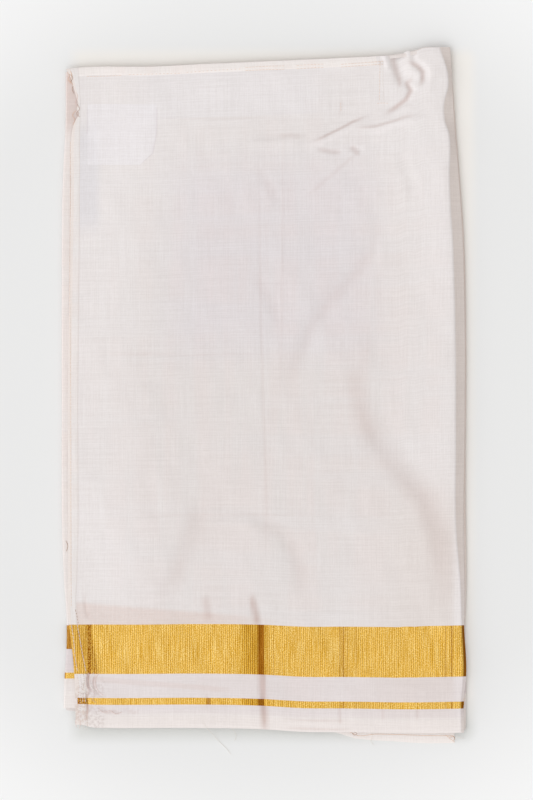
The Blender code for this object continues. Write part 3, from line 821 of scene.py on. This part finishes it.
def build_top_ply(materials):
    across = stations(
        (0, 0.5 * MM), (2 * MM, 1.1 * MM), (8.1 * MM, 0.3 * MM), (9.3 * MM, 1.1 * MM), (38 * MM, 3.2 * MM),
        (168 * MM, 1.3 * MM), (184 * MM, 2.4 * MM), (189 * MM, 1.3 * MM), (196 * MM, 2.8 * MM),
        (222 * MM, 1.6 * MM), (PLY_WIDTH, 0.8 * MM), (PLY_WIDTH + BEND_LENGTH, 5 * MM),
        (PLY_WIDTH + BEND_LENGTH + TAIL_REACH, 0),
    )
    up = stations(
        (0, 0.8 * MM), (3 * MM, 1.8 * MM), (STRIPE[0], 1.6 * MM), (STRIPE[1], 1.6 * MM), (BAND[0], 1.8 * MM),
        (BAND[1], 1.8 * MM), (114 * MM, 3.8 * MM), (192 * MM, 1.5 * MM), (197 * MM, 4.2 * MM),
        (335 * MM, 1.5 * MM), (340 * MM, 4.0 * MM), (470 * MM, 2.2 * MM), (PLY_LENGTH - 80 * MM, 1.4 * MM),
        (PLY_LENGTH - EDGE_HEM - 0.3 * MM, 0.35 * MM), (PLY_LENGTH - EDGE_HEM + 0.75 * MM, 1.2 * MM),
        (PLY_LENGTH, 0),
    )
    grid_across, grid_up = np.meshgrid(across, up)
    points, weave = top_ply(grid_across, grid_up)
    # Painted shade and light along the creases, and painted light on the lower slope of the fold
    shade = laid_along(CREASE_PAINTED_SHADES, points[:, :, 0], points[:, :, 1]) * (grid_across < PLY_WIDTH)
    shade -= 1.8 * (grid_across >= PLY_WIDTH) * smoothstep((170 * MM - grid_up) / (60 * MM))
    turn = np.clip((grid_across - PLY_WIDTH) / BEND_LENGTH, 0, 1)
    middle_across = (grid_across[:-1, :-1] + grid_across[1:, 1:]) / 2
    middle_up = (grid_up[:-1, :-1] + grid_up[1:, 1:]) / 2

    def within(low, high):
        return (middle_up > low) & (middle_up < high)

    band, stripe = within(*BAND), within(*STRIPE)
    # The stripe starts inside the hem's rolled edge
    stripe &= middle_across > STRIPE_START
    gold = band | stripe
    hem = (middle_across < END_HEM) & ~gold
    edge = (middle_up > PLY_LENGTH - EDGE_HEM) & (middle_across < EDGE_HEM_END) & ~hem
    share_out = (
        ("top_sheet", ~(gold | hem | edge), materials["top"], "silk", CLOTH, ("top_ply",)),
        ("border_band_sheet", band, materials["zari"], "zari", CLOTH, ("border_band",)),
        ("border_stripe_sheet", stripe, materials["zari"], "zari", CLOTH, ("border_stripe",)),
        ("end_hem_strip", hem, materials["end_hem"], "silk_hem", 2 * CLOTH, ("end_hem",)),
        ("edge_hem_strip", edge, materials["hem"], "silk_hem", 2 * CLOTH, ("edge_hem",)),
    )
    pieces = {}
    for name, keep, material, slot, thickness, nodes in share_out:
        measure = grid_across if slot == "silk_hem" else weave
        mesh = build_mesh(name, points, measure, grid_up, keep, turn, shade)
        pieces[name] = thicken(add_piece(name, mesh, material, slot, *nodes), thickness)
    return pieces


# --- The plies below -----------------------------------------------------------

# Each hidden ply: its height in the stack, and at the right side where it nears a fold. Millimetres.
# A height of None at the right means just under the top ply's crest.
LEVELS = {
    "b1": (5.95, None), "b2": (5.30, 5.5), "a2": (4.60, 4.75), "a3": (3.90, 3.75), "b3": (3.20, 2.95),
    "b4": (2.50, 1.30), "a4": (1.80, 0.35), "a5": (1.05, 1.05), "b5": (0.35, 0.35),
}
B_STRIPE = (27.3 * MM, 32.7 * MM)
B_BAND = (54.3 * MM, 76.1 * MM)
SHORT_OF_TOP = 3.0 * MM
SHORT_AT_BOTTOM = {
    "b": ((-182, 17.6), (182, 17.6)),
    "a": (
        (-182, 18.0), (-176, 18.0), (-170, 17.0), (-160, 6.0), (-150, 3.0), (-140, 2.6), (-100, 2.5),
        (182, 2.5),
    ),
}
FREE_END = 171.5 * MM  # where the lowest ply ends at the right
CLEAR_OF_TOP = {"b1": 0.45 * MM, "b2": 0.9 * MM, "a2": 1.35 * MM}


def level_height(ply, x, y):
    main, right = LEVELS[ply]
    crest = crest_x(y)
    top = stack_height(crest, y) - 0.8 * MM if right is None else right * MM
    reach = 8 * MM if ply in ("a4", "b4") else 20 * MM
    return mix(main * MM, top, smoothstep((x - crest + reach + 1 * MM) / reach))


def side_x(ply, side, y):
    """Where a ply's flat part stops at a side, and how far its fold bulges past that."""
    left, right = curve(LEFT_FOLD_EDGE, y), curve(RIGHT_FOLD_EDGE, y)
    crest = crest_x(y)
    slope = curve(TOP_FOLD, y, 2)
    outer = {"b2": 1.4, "b3": 1.4, "b4": 1.2, "b5": 1.2, "a2": 0.5, "a3": 0.5, "a4": 0.5, "a5": 0.5}
    if side == "left":
        bulge = outer.get(ply, 0.0) * MM
        inset = {"b": 0.0, "a": 1.6 * MM}[ply[0]] + (0.9 * MM if ply in ("b4", "b5", "a4", "a5") else 0.0)
        if ply == "b1":
            return curve(HEM_EDGE, y) + 1.2 * MM, bulge
        return left + inset + bulge, bulge
    if ply in ("b1", "b2"):
        return crest - 1.0 * MM, 0.33 * slope
    if ply in ("a3", "a4"):
        return right - 1.9 * MM, 1.9 * MM
    if ply in ("b3", "b4"):
        return right - 2.2 * MM, 0.9 * MM
    return np.minimum(crest - 1.2 * MM, FREE_END), 0.0


def ribbon(route, free_left):
    """Points of a ply that runs along a route of levels, folding at the right and left by turns."""
    columns = []
    rightward = free_left
    panel = stations((0, 0.012), (0.06, 0.05), (0.94, 0.012), (1.0, 0))
    turn = np.linspace(0, 1, 9)[1:-1]
    for k, ply in enumerate(route):
        for share in panel:
            columns.append((ply, None, share if rightward else 1 - share))
        if k + 1 < len(route):
            side = "right" if rightward else "left"
            columns += [(ply, route[k + 1], (side, t)) for t in turn]
        rightward = not rightward
    return columns


def ribbon_points(columns, along):
    """Places every column at every share along, and gives the cloth's own metres there."""
    rows = np.zeros((len(along), len(columns), 3))
    ups = np.zeros((len(along), len(columns)))
    for c, (ply, after, place) in enumerate(columns):
        y = np.zeros_like(along)
        for _ in range(4):
            if after is None:
                left, _ = side_x(ply, "left", y)
                right, _ = side_x(ply, "right", y)
                x = mix(left, right, place)
                z = level_height(ply, x, y)
            else:
                side, turn = place
                base, bulge = side_x(ply, side, y)
                other, other_bulge = side_x(after, side, y)
                ahead = math.sin(turn * math.pi)
                outward = 1 if side == "right" else -1
                x = mix(base, other, turn) + outward * ahead * np.maximum(bulge, other_bulge)
                start, end = level_height(ply, base, y), level_height(after, other, y)
                z = mix(start, end, (1 - math.cos(turn * math.pi)) / 2)
            low = curve(BOTTOM_EDGE, x) + curve(SHORT_AT_BOTTOM[ply[0]], x)
            if ply == "b5":
                low = curve(LOWEST_PLY_EDGE, x)
            high = curve(TOP_EDGE, x) - SHORT_OF_TOP
            y = mix(low, high, along)
        rows[:, c] = np.stack([x, y, z], axis=-1)
        ups[:, c] = y - low
    top = surface_height(rows[:, :, 0], rows[:, :, 1])
    for c, (ply, after, _) in enumerate(columns):
        if after is None and ply in CLEAR_OF_TOP:
            rows[:, c, 2] = np.minimum(rows[:, c, 2], top[:, c] - CLEAR_OF_TOP[ply])
    return rows, ups


PARTNER = {"b1": None, "b2": "a2", "b3": "a3", "b4": "a4", "b5": "a5"}


def add_top_folds(columns, rows, ups):
    """Carries each b ply round the doubled edge, up or down to the a ply that it is one cloth with."""
    steps = np.linspace(0, 1, 7)[1:]
    last = rows[-1]
    extra = []
    for t in steps:
        ring = last.copy()
        for c, (ply, after, place) in enumerate(columns):
            if after is not None:
                continue
            x, y = last[c, 0], last[c, 1]
            if ply == "b1":
                goal = stack_height(x, y + SHORT_OF_TOP) - EDGE_CURL - CLOTH
            else:
                goal = level_height(PARTNER[ply], x, y)
            gap = goal - last[c, 2]
            reach = abs(gap) / 2 + (SHORT_OF_TOP - 0.4 * MM if ply == "b1" else 0.0)
            ring[c, 1] = y + reach * math.sin(t * math.pi)
            ring[c, 2] = last[c, 2] + gap * (1 - math.cos(t * math.pi)) / 2
        extra.append(ring)
    more = ups[-1] + np.arange(1, len(steps) + 1)[:, None] * 0.5 * MM
    return np.concatenate([rows, np.array(extra)]), np.concatenate([ups, more])


# Each ribbon: its name, route, whether its free end is at the left, its stripe and band, and the
# nodes that its silk and its gold stand for.
RIBBONS = (
    (
        "lower_ply_b", ("b1", "b2", "b3", "b4", "b5"), True, B_STRIPE, B_BAND,
        ("left_fold", "bottom_ply", "inner_stack"), ("left_band", "left_stripe"),
    ),
    ("lower_ply_a", ("a2", "a3", "a4", "a5"), False, STRIPE, BAND, ("right_fold",), ()),
)
RIBBON_LENGTH = 0.583
LEFT_RECESS = (236 * MM, 292 * MM)  # the stretch of the left folds that lies in shade


def build_ribbons(materials):
    pieces = {}
    for name, route, free_left, stripe, band, nodes, gold_nodes in RIBBONS:
        columns = ribbon(route, free_left)
        along = stations(
            (0, 0.002), (0.004, 0.006), (stripe[0], 0.003), (stripe[1], 0.008), (band[0], 0.010),
            (band[1], 0.012), (0.12, 0.016), (RIBBON_LENGTH - 0.012, 0.004), (RIBBON_LENGTH, 0),
        ) / RIBBON_LENGTH
        rows, ups = ribbon_points(columns, along)
        if name == "lower_ply_b":
            rows, ups = add_top_folds(columns, rows, ups)
        lengths = np.linalg.norm(np.diff(rows[len(along) // 2], axis=0), axis=1)
        across = np.broadcast_to(np.concatenate([[0], np.cumsum(lengths)]), ups.shape)
        middle = (ups[:-1, :-1] + ups[1:, 1:]) / 2
        gold = ((middle > stripe[0]) & (middle < stripe[1])) | ((middle > band[0]) & (middle < band[1]))
        plain = np.array([after is not None and place[0] == "right" for _, after, place in columns])
        gold &= ~(plain[:-1] | plain[1:])
        x, y = rows[:, :, 0], rows[:, :, 1]
        # Painted shade: the gold darker near the left folds, and the silk darker in the recessed stretch of
        # them
        from_left = x - curve(LEFT_FOLD_EDGE, y)
        left = np.where(ups > 0.04, 0.075 * (from_left < 8.5 * MM), 0.10 * (from_left < 0.5 * MM))
        low, high = LEFT_RECESS
        recess_shade = 0.62 * smoothstep((y - low) / (9 * MM)) * smoothstep((high - y) / (6 * MM))
        recess_shade *= from_left < 20 * MM
        recess_shade *= 1 - 0.6 * smoothstep((from_left - 1.5 * MM) / (-1.5 * MM))
        silk = build_mesh(name, rows, across, ups, ~gold, plain * np.ones_like(ups), recess_shade)
        zari = build_mesh(name + "_border", rows, across, ups, gold, left * np.ones_like(ups))
        pieces[name] = thicken(add_piece(name, silk, materials["silk"], "silk", *nodes))
        gold_piece = add_piece(name + "_border", zari, materials["zari"], "zari", *gold_nodes)
        pieces[name + "_border"] = thicken(gold_piece)
    return pieces


def build_label(material):
    """The blank label sewn under the top ply, cut across one corner."""
    low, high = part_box("label")
    across = np.linspace(low.x, high.x, 22)
    up = np.linspace(low.y, high.y, 20)
    x, y = np.meshgrid(across, up)
    z = surface_height(x, y) - 2 * CLOTH
    points = np.stack([x, y, z], axis=-1)
    middle_x, middle_y = (x[:-1, :-1] + x[1:, 1:]) / 2, (y[:-1, :-1] + y[1:, 1:]) / 2
    keep = (high.x - middle_x) + (middle_y - low.y) > 9 * MM
    mesh = build_mesh("sewn_label", points, x, y, keep)
    return thicken(add_piece("sewn_label", mesh, material, "label_tape", "label"), CLOTH)


# --- Stitches and loose threads --------------------------------------------------

# Runs of stitches: stitch length, gap, how far they stand up, thread material, points x, y. Millimetres.
STITCH_RUNS = (
    (2.6, 0.3, 0.10, "peach", ((-160, 286.6), (-140, 287.0), (-127, 287.6))),
    (2.0, 1.4, 0.10, "peach", ((-122, 288.2), (-98, 288.8), (-76, 289.4))),
    (1.8, 1.8, 0.10, "peach", ((-70, 290.2), (-44, 292.0), (-20, 293.4))),
    (2.6, 0.4, 0.10, "peach", ((-17, 294.6), (0, 295.6), (18, 296.0))),
    (2.6, 0.4, 0.10, "peach", ((-17, 291.8), (0, 292.6), (18, 293.0))),
    (2.6, 0.5, 0.10, "peach", ((29, 296.4), (42, 297.2), (55, 297.8))),
    (2.6, 0.5, 0.10, "peach", ((29, 293.4), (42, 294.2), (55, 294.8))),
    (2.6, 0.4, 0.10, "peach", ((69, 297.4), (88, 298.8), (107, 300.2))),
    (2.6, 0.4, 0.10, "peach", ((69, 295.0), (88, 296.4), (107, 297.6))),
    (2.4, 0.3, 0.10, "peach", ((104.2, 300), (104.0, 290), (103.8, 276), (103.6, 264))),
    (2.4, 0.3, 0.10, "cream", ((106.8, 300), (106.6, 290), (106.8, 276), (107.0, 264))),
    (2.2, 0.4, 0.10, "peach", ((101.6, 262.2), (107, 262.6), (113, 262.2))),
    (2.2, 0.4, 0.10, "peach", ((68.6, 262.8), (69.0, 255.6))),
    (3.0, 0.3, 0.10, "peach", (
        (-174.2, 228), (-174.4, 180), (-175.0, 100), (-174.2, 0), (-174.0, -100), (-173.8, -160),
        (-173.6, -190),
    )),
    (3.0, 0.2, 0.16, "lilac", ((-173.4, -207), (-171.4, -222), (-169.8, -239), (-168.0, -249))),
    (3.0, 0.1, 0.20, "lilac", ((-168.4, -206), (-166.2, -218), (-163.4, -234), (-160.4, -249.0))),
    (2.0, 0.8, 0.14, "brown", ((-170.0, -193), (-168.6, -199), (-167.4, -206))),
    (2.6, 0.2, 0.18, "lilac", ((-163.4, -268), (-163.2, -276.6))),
    (2.6, 0.2, 0.18, "lilac", ((-161.2, -268), (-160.8, -277))),
    (1.2, 1.0, 0.16, "pink", ((-168.6, -252), (-166.8, -262), (-168.0, -275), (-167.4, -291))),
    (1.2, 0.8, 0.16, "lilac", ((-165.4, -252), (-164.8, -263), (-165.8, -278), (-165.0, -292))),
    (1.0, 0.9, 0.16, "brown", ((-162.8, -251), (-162.0, -258), (-163.6, -266))),
    (1.2, 1.0, 0.16, "pink", ((-161.8, -278), (-162.4, -285), (-161.6, -293))),
)
THREAD_WIDTH = {"peach": 0.38 * MM, "cream": 0.4 * MM, "lilac": 0.62 * MM}
THREAD_SIDES = 6
THREAD_COLOURS = {
    "orange": (0.78, 0.50, 0.33), "pink": (0.78, 0.58, 0.52),
    "cream": (0.86, 0.80, 0.74), "brown": (0.42, 0.24, 0.14),
    "peach": (0.84, 0.655, 0.54), "lilac": (0.80, 0.70, 0.70),
}


def smooth_path(points, step):
    """Points on a smooth curve through the given ones, about a step apart."""
    points = np.array(points, float)
    at = np.concatenate([[0], np.cumsum(np.linalg.norm(np.diff(points, axis=0), axis=1))])
    places = np.linspace(0, at[-1], max(2, round(at[-1] / step) + 1))
    columns = [curve(tuple(zip(at / MM, column / MM)), places) for column in points.T]
    return np.stack(columns, axis=-1)


def tube(path, radii):
    """Vertices and faces of a closed tube along a path of points."""
    count, sides = len(path), THREAD_SIDES
    ahead = np.gradient(path, axis=0)
    ahead /= np.linalg.norm(ahead, axis=1, keepdims=True) + 1e-12
    aside = np.cross(ahead, (0, 0, 1))
    aside /= np.linalg.norm(aside, axis=1, keepdims=True) + 1e-12
    above = np.cross(aside, ahead)
    angles = np.arange(sides) * 2 * math.pi / sides
    rings = (
        path[:, None] + radii[:, None, None] * (
            np.cos(angles)[None, :, None] * aside[:, None] + np.sin(angles)[None, :, None] * above[:, None]
        )
    )
    faces = [
        (r * sides + k, r * sides + (k + 1) % sides, (r + 1) * sides + (k + 1) % sides, (r + 1) * sides + k)
        for r in range(count - 1) for k in range(sides)
    ]
    faces.append(tuple(reversed(range(sides))))
    faces.append(tuple((count - 1) * sides + k for k in range(sides)))
    return rings.reshape(-1, 3), faces


def join_tubes(name, tubes, material, slot):
    vertices, faces, start = [], [], 0
    for ring_points, tube_faces in tubes:
        vertices.append(ring_points)
        faces += [tuple(start + k for k in face) for face in tube_faces]
        start += len(ring_points)
    mesh = bpy.data.meshes.new(name)
    mesh.from_pydata(np.concatenate(vertices).tolist(), [], faces)
    layer = mesh.uv_layers.new(name="cloth")
    corners = np.empty(len(mesh.loops), np.int32)
    mesh.loops.foreach_get("vertex_index", corners)
    layer.data.foreach_set("uv", np.concatenate(vertices)[corners][:, :2].astype(np.float32).ravel())
    mesh.shade_smooth()
    return add_piece(name, mesh, material, slot)


def hemmed_height(x, y):
    """Height of the top ply's outer face with its turned hems."""
    outer, inner = curve(HEM_EDGE, y), curve(HEM_INNER_EDGE, y)
    across = END_HEM + np.where(x < inner, (x - inner) / (inner - outer) * END_HEM, x - inner)
    low, high = curve(BOTTOM_EDGE, x), curve(TOP_EDGE, x)
    return surface_height(x, y) + hem_rise(across, (y - low) / (high - low) * PLY_LENGTH)


def build_stitches(materials):
    tubes = {name: [] for name in THREAD_COLOURS}
    for length, gap, rise, thread, points in STITCH_RUNS:
        path = smooth_path(np.array(points) * MM, 0.25 * MM)
        at = np.arange(len(path)) * 0.25
        for start in np.arange(0, at[-1] - 0.5 * length, length + gap):
            run = path[(at >= start) & (at <= start + length)]
            if len(run) < 4:
                continue
            share = np.linspace(0, 1, len(run))
            bow = np.sin(share * math.pi)
            z = hemmed_height(run[:, 0], run[:, 1]) + rise * MM * (2 * np.sqrt(bow) - 1)
            width = THREAD_WIDTH.get(thread, 0.42 * MM)
            tubes[thread].append(tube(np.column_stack([run, z]), width / 2 * (0.55 + 0.45 * bow)))
    for name, found in tubes.items():
        if found:
            join_tubes("stitches_" + name + "_thread", found, materials[name], "silk_hem")


# Frayed ends and loose threads: material, width, points x, y, height. Millimetres.
LOOSE_THREADS = (
    # at the lower edge, beside the middle fold
    ("cream", 0.30, (
        (-55, -294, 7.0), (-51.5, -300, 6.6), (-46, -306, 2.6), (-40, -313, 0.5), (-33, -320, 0.4),
        (-30, -324, 0.4),
    )),
    ("cream", 0.26, ((-30, -299, 6.4), (-27, -303, 3.6), (-25.4, -308, 0.6), (-27, -312, 0.4))),
    ("cream", 0.26, ((96, -303, 6.2), (97.4, -307, 3.0), (96.2, -312, 0.9), (99, -316, 0.4))),
    # a reddish thread on the edge of the ply below, also standing for the shadowed gap there; its knot
    ("orange", 0.36, (
        (68, -302.4, 6.2), (80, -304.6, 5.2), (82, -305.8, 5.0), (100, -305.2, 5.6), (125, -305.8, 5.6),
        (150, -306.6, 5.2), (170, -306.8, 4.6),
    )),
    ("brown", 0.40, (
        (79, -304.2, 5.6), (81.4, -306.2, 5.8), (83.4, -304.6, 6.0), (81, -303.6, 6.2),
    )),
    # the frayed corner of the lowest ply
    ("orange", 0.34, (
        (163, -306, 4.4), (167, -308.4, 3.4), (170.6, -307.4, 3.0), (172.0, -310, 2.4),
    )),
    ("brown", 0.34, ((169.4, -306.6, 4.2), (171.4, -309, 3.4), (170.4, -311.6, 2.2))),
    ("orange", 0.30, ((166, -309, 3.0), (169.4, -311, 2.2), (171.6, -312.8, 1.0))),
    ("cream", 0.34, ((172, -307.4, 3.8), (176, -308.6, 2.6), (180.4, -309.4, 1.4))),
    # curls beside the end hem, below the band
    ("cream", 0.36, (
        (-153, -249.4, 7.2), (-156, -253, 7.4), (-157, -259, 7.4), (-154, -264.4, 7.3),
        (-150.4, -267.4, 7.1),
    )),
    ("pink", 0.30, (
        (-157.4, -249.6, 7.2), (-159.8, -254, 7.5), (-160.2, -261, 7.5), (-157.8, -266, 7.3),
        (-158.6, -271, 7.2),
    )),
    ("pink", 0.30, (
        (-160.4, -277, 7.2), (-158.6, -283, 7.3), (-159.6, -289, 7.3), (-161.4, -294, 6.8),
    )),
    ("brown", 0.24, ((-161, -250, 7.2), (-158, -253.4, 7.5), (-158.4, -257, 7.5))),
    ("pink", 0.28, (
        (-148.6, -250, 7.1), (-151.4, -255, 7.3), (-151.8, -261, 7.3), (-148.6, -267, 7.2),
        (-144.6, -270.6, 7.1),
    )),
    ("pink", 0.26, ((-155, -266, 7.3), (-152.4, -270, 7.4), (-154.6, -274, 7.4), (-151, -277, 7.3))),
    ("cream", 0.30, (
        (-163.4, -252, 7.3), (-160.6, -256, 7.5), (-163.6, -260.6, 7.4), (-160.8, -265, 7.5),
        (-163, -269, 7.4),
    )),
    ("pink", 0.26, (
        (-150, -281, 7.2), (-145, -285.4, 7.3), (-139, -284, 7.3), (-133, -287, 7.2), (-128, -285, 7.1),
    )),
    # frayed end of the end hem
    ("pink", 0.30, ((-169.4, -290, 6.9), (-169.8, -296, 6.2), (-168.6, -299.6, 4.6))),
    ("pink", 0.30, ((-166.0, -291, 7.0), (-165.6, -297, 6.3), (-166.8, -300.4, 4.8))),
    ("cream", 0.30, ((-162.6, -291, 7.0), (-162.8, -297.4, 6.3), (-161.4, -301, 4.8))),
    ("cream", 0.28, ((-159.6, -292, 7.0), (-159.4, -298.4, 6.2), (-160.2, -301.6, 4.6))),
    # the torn edge of the end hem near the upper corner
    ("brown", 0.32, ((-170.6, 280, 6.8), (-172.8, 276, 6.2), (-171.4, 271, 6.5))),
    ("pink", 0.32, (
        (-170.2, 274, 7.0), (-167.8, 268, 7.2), (-169.8, 263.6, 6.9), (-168.0, 259, 7.2),
    )),
    ("brown", 0.28, (
        (-168.6, 262, 7.2), (-166.2, 257, 7.4), (-169.0, 253.4, 6.9), (-166.0, 250, 7.3),
    )),
    ("orange", 0.30, (
        (-169.6, 256, 6.9), (-172.6, 252, 6.2), (-170.4, 247.6, 6.6), (-172.4, 243, 6.3),
    )),
    ("orange", 0.34, (
        (-177.6, 291, 6.7), (-175.4, 287.6, 7.1), (-176.6, 284, 6.9), (-173.8, 280.4, 7.1),
    )),
    ("orange", 0.34, (
        (-174.4, 291.6, 7.1), (-173.2, 287, 7.3), (-174.8, 283, 7.1), (-171.8, 279, 7.2),
    )),
    ("brown", 0.30, ((-176.4, 289.6, 6.9), (-172.4, 285.6, 7.3), (-174.6, 281, 7.1))),
    # a small knot on the left fold
    ("brown", 0.34, ((-178.6, -131, 6.0), (-176.8, -136, 6.7), (-178.4, -141, 6.2))),
)


def build_loose_threads(materials):
    tubes = {name: [] for name in THREAD_COLOURS}
    for thread, width, points in LOOSE_THREADS:
        path = smooth_path(np.array(points) * MM, 0.6 * MM)
        taper = np.sqrt(np.clip(np.minimum(np.arange(len(path)), np.arange(len(path))[::-1]) / 2, 0.25, 1))
        tubes[thread].append(tube(path, width / 2 * MM * taper))
    for name, found in tubes.items():
        if found:
            join_tubes("loose_" + name + "_thread", found, materials[name], "silk_hem")


# --- Stage, light and camera ---------------------------------------------------


def build_stage():
    """A pale sheet of paper, with painted light brighter away from the cloth and painted shadow beside it."""
    half = 3.0
    mesh = bpy.data.meshes.new("floor")
    corners = [(-half, -half, 0), (half, -half, 0), (half, half, 0), (-half, half, 0)]
    mesh.from_pydata(corners, [], [(0, 1, 2, 3)])
    floor = bpy.data.objects.new("floor", mesh)
    bpy.context.scene.collection.objects.link(floor)
    nodes = Nodes(bpy.data.materials.new("pale_floor"))
    place = nodes.take("ShaderNodeTexCoord", "Object")
    # Painted light: the paper brighter away from the cloth
    away = nodes.vector("LENGTH", place, output="Value").ramp(0.3, 0.46)
    paper = nodes.mix(away, (0.80, 0.80, 0.795), (0.90, 0.90, 0.897))
    # Painted light and shadow close beside the cloth: warmer and lighter in the cast shadow at the top
    # and right, and a deeper painted shadow below the lower edge
    past = nodes.vector("SUBTRACT", nodes.vector("ABSOLUTE", place), (0.180, 0.302, 1.0))
    outside = nodes.vector("LENGTH", nodes.vector("MAXIMUM", past, (0, 0, 0)), output="Value")
    apart = nodes.add("ShaderNodeSeparateXYZ", Vector=place)
    x, y = (Value(nodes, socket) for socket in apart.outputs[:2])
    close = outside.ramp(0.015, 0.001) * x.ramp(-0.178, -0.165, "LINEAR")
    below = y.ramp(-0.27, -0.3, "LINEAR")
    shadow = nodes.mix(below, (0.872, 0.846, 0.808), (0.715, 0.718, 0.696))
    colour = nodes.mix(close, paper, shadow)
    mesh.materials.append(nodes.finish(Base_Color=colour, Roughness=0.9, Specular_IOR_Level=0.1))


def build_light():
    """A soft white room, brighter towards the left, and a weak soft light from there."""
    world = bpy.data.worlds.new("studio")
    nodes = Nodes(world, "Background")
    direction = nodes.take("ShaderNodeTexCoord", "Generated")
    towards = nodes.vector("DOT_PRODUCT", direction, (-0.78, -0.50, 0.38), output="Value")
    share = towards.ramp(-1.0, 1.0, "LINEAR")
    nodes.finish(Color=nodes.mix(share, (0.36, 0.325, 0.295), (1.56, 1.58, 1.60)), Strength=0.83)
    bpy.context.scene.world = world
    sun = bpy.data.lights.new("key", "SUN")
    sun.angle = math.radians(50)
    sun.energy = 0.45
    lamp = bpy.data.objects.new("key", sun)
    lamp.rotation_euler = Vector((0.75, 0.45, -1.0)).to_track_quat("-Z", "Y").to_euler()
    bpy.context.scene.collection.objects.link(lamp)
    bpy.context.scene.view_settings.view_transform = "Standard"


def build_camera():
    """Straight above, framed as the photograph is: 0.72 m from top to bottom."""
    view_height, lens = 0.720, 200.0
    camera = bpy.data.objects.new("camera", bpy.data.cameras.new("camera"))
    camera.data.sensor_width = 36.0
    camera.data.lens = lens
    distance = view_height * lens / camera.data.sensor_width
    camera.location = (0.0020, -0.0045, distance + 0.006)
    camera.data.clip_start = 0.1
    camera.data.clip_end = 20
    bpy.context.scene.collection.objects.link(camera)
    bpy.context.scene.camera = camera


def main():
    build_camera()
    materials = {
        "top": silk_material("top_silk", tints=top_tints),
        "silk": silk_material("lower_silk", LOWER_SILK, lower_tints),
        "hem": silk_material("hem_silk", HEM_SILK, roughness=0.6),
        "end_hem": silk_material("end_hem_silk", (0.795, 0.755, 0.738), hem_tints, roughness=0.6),
        "zari": zari_material("zari"),
    }
    top = build_top_ply(materials)
    lower = build_ribbons(materials)
    build_label(plain_material("label_tape", (0.84, 0.84, 0.85), 0.6))
    threads = {
        name: plain_material(name + "_thread", colour, 0.55, sheen=0.1)
        for name, colour in THREAD_COLOURS.items()
    }
    build_stitches(threads)
    build_loose_threads(threads)
    build_stage()
    build_light()


main()
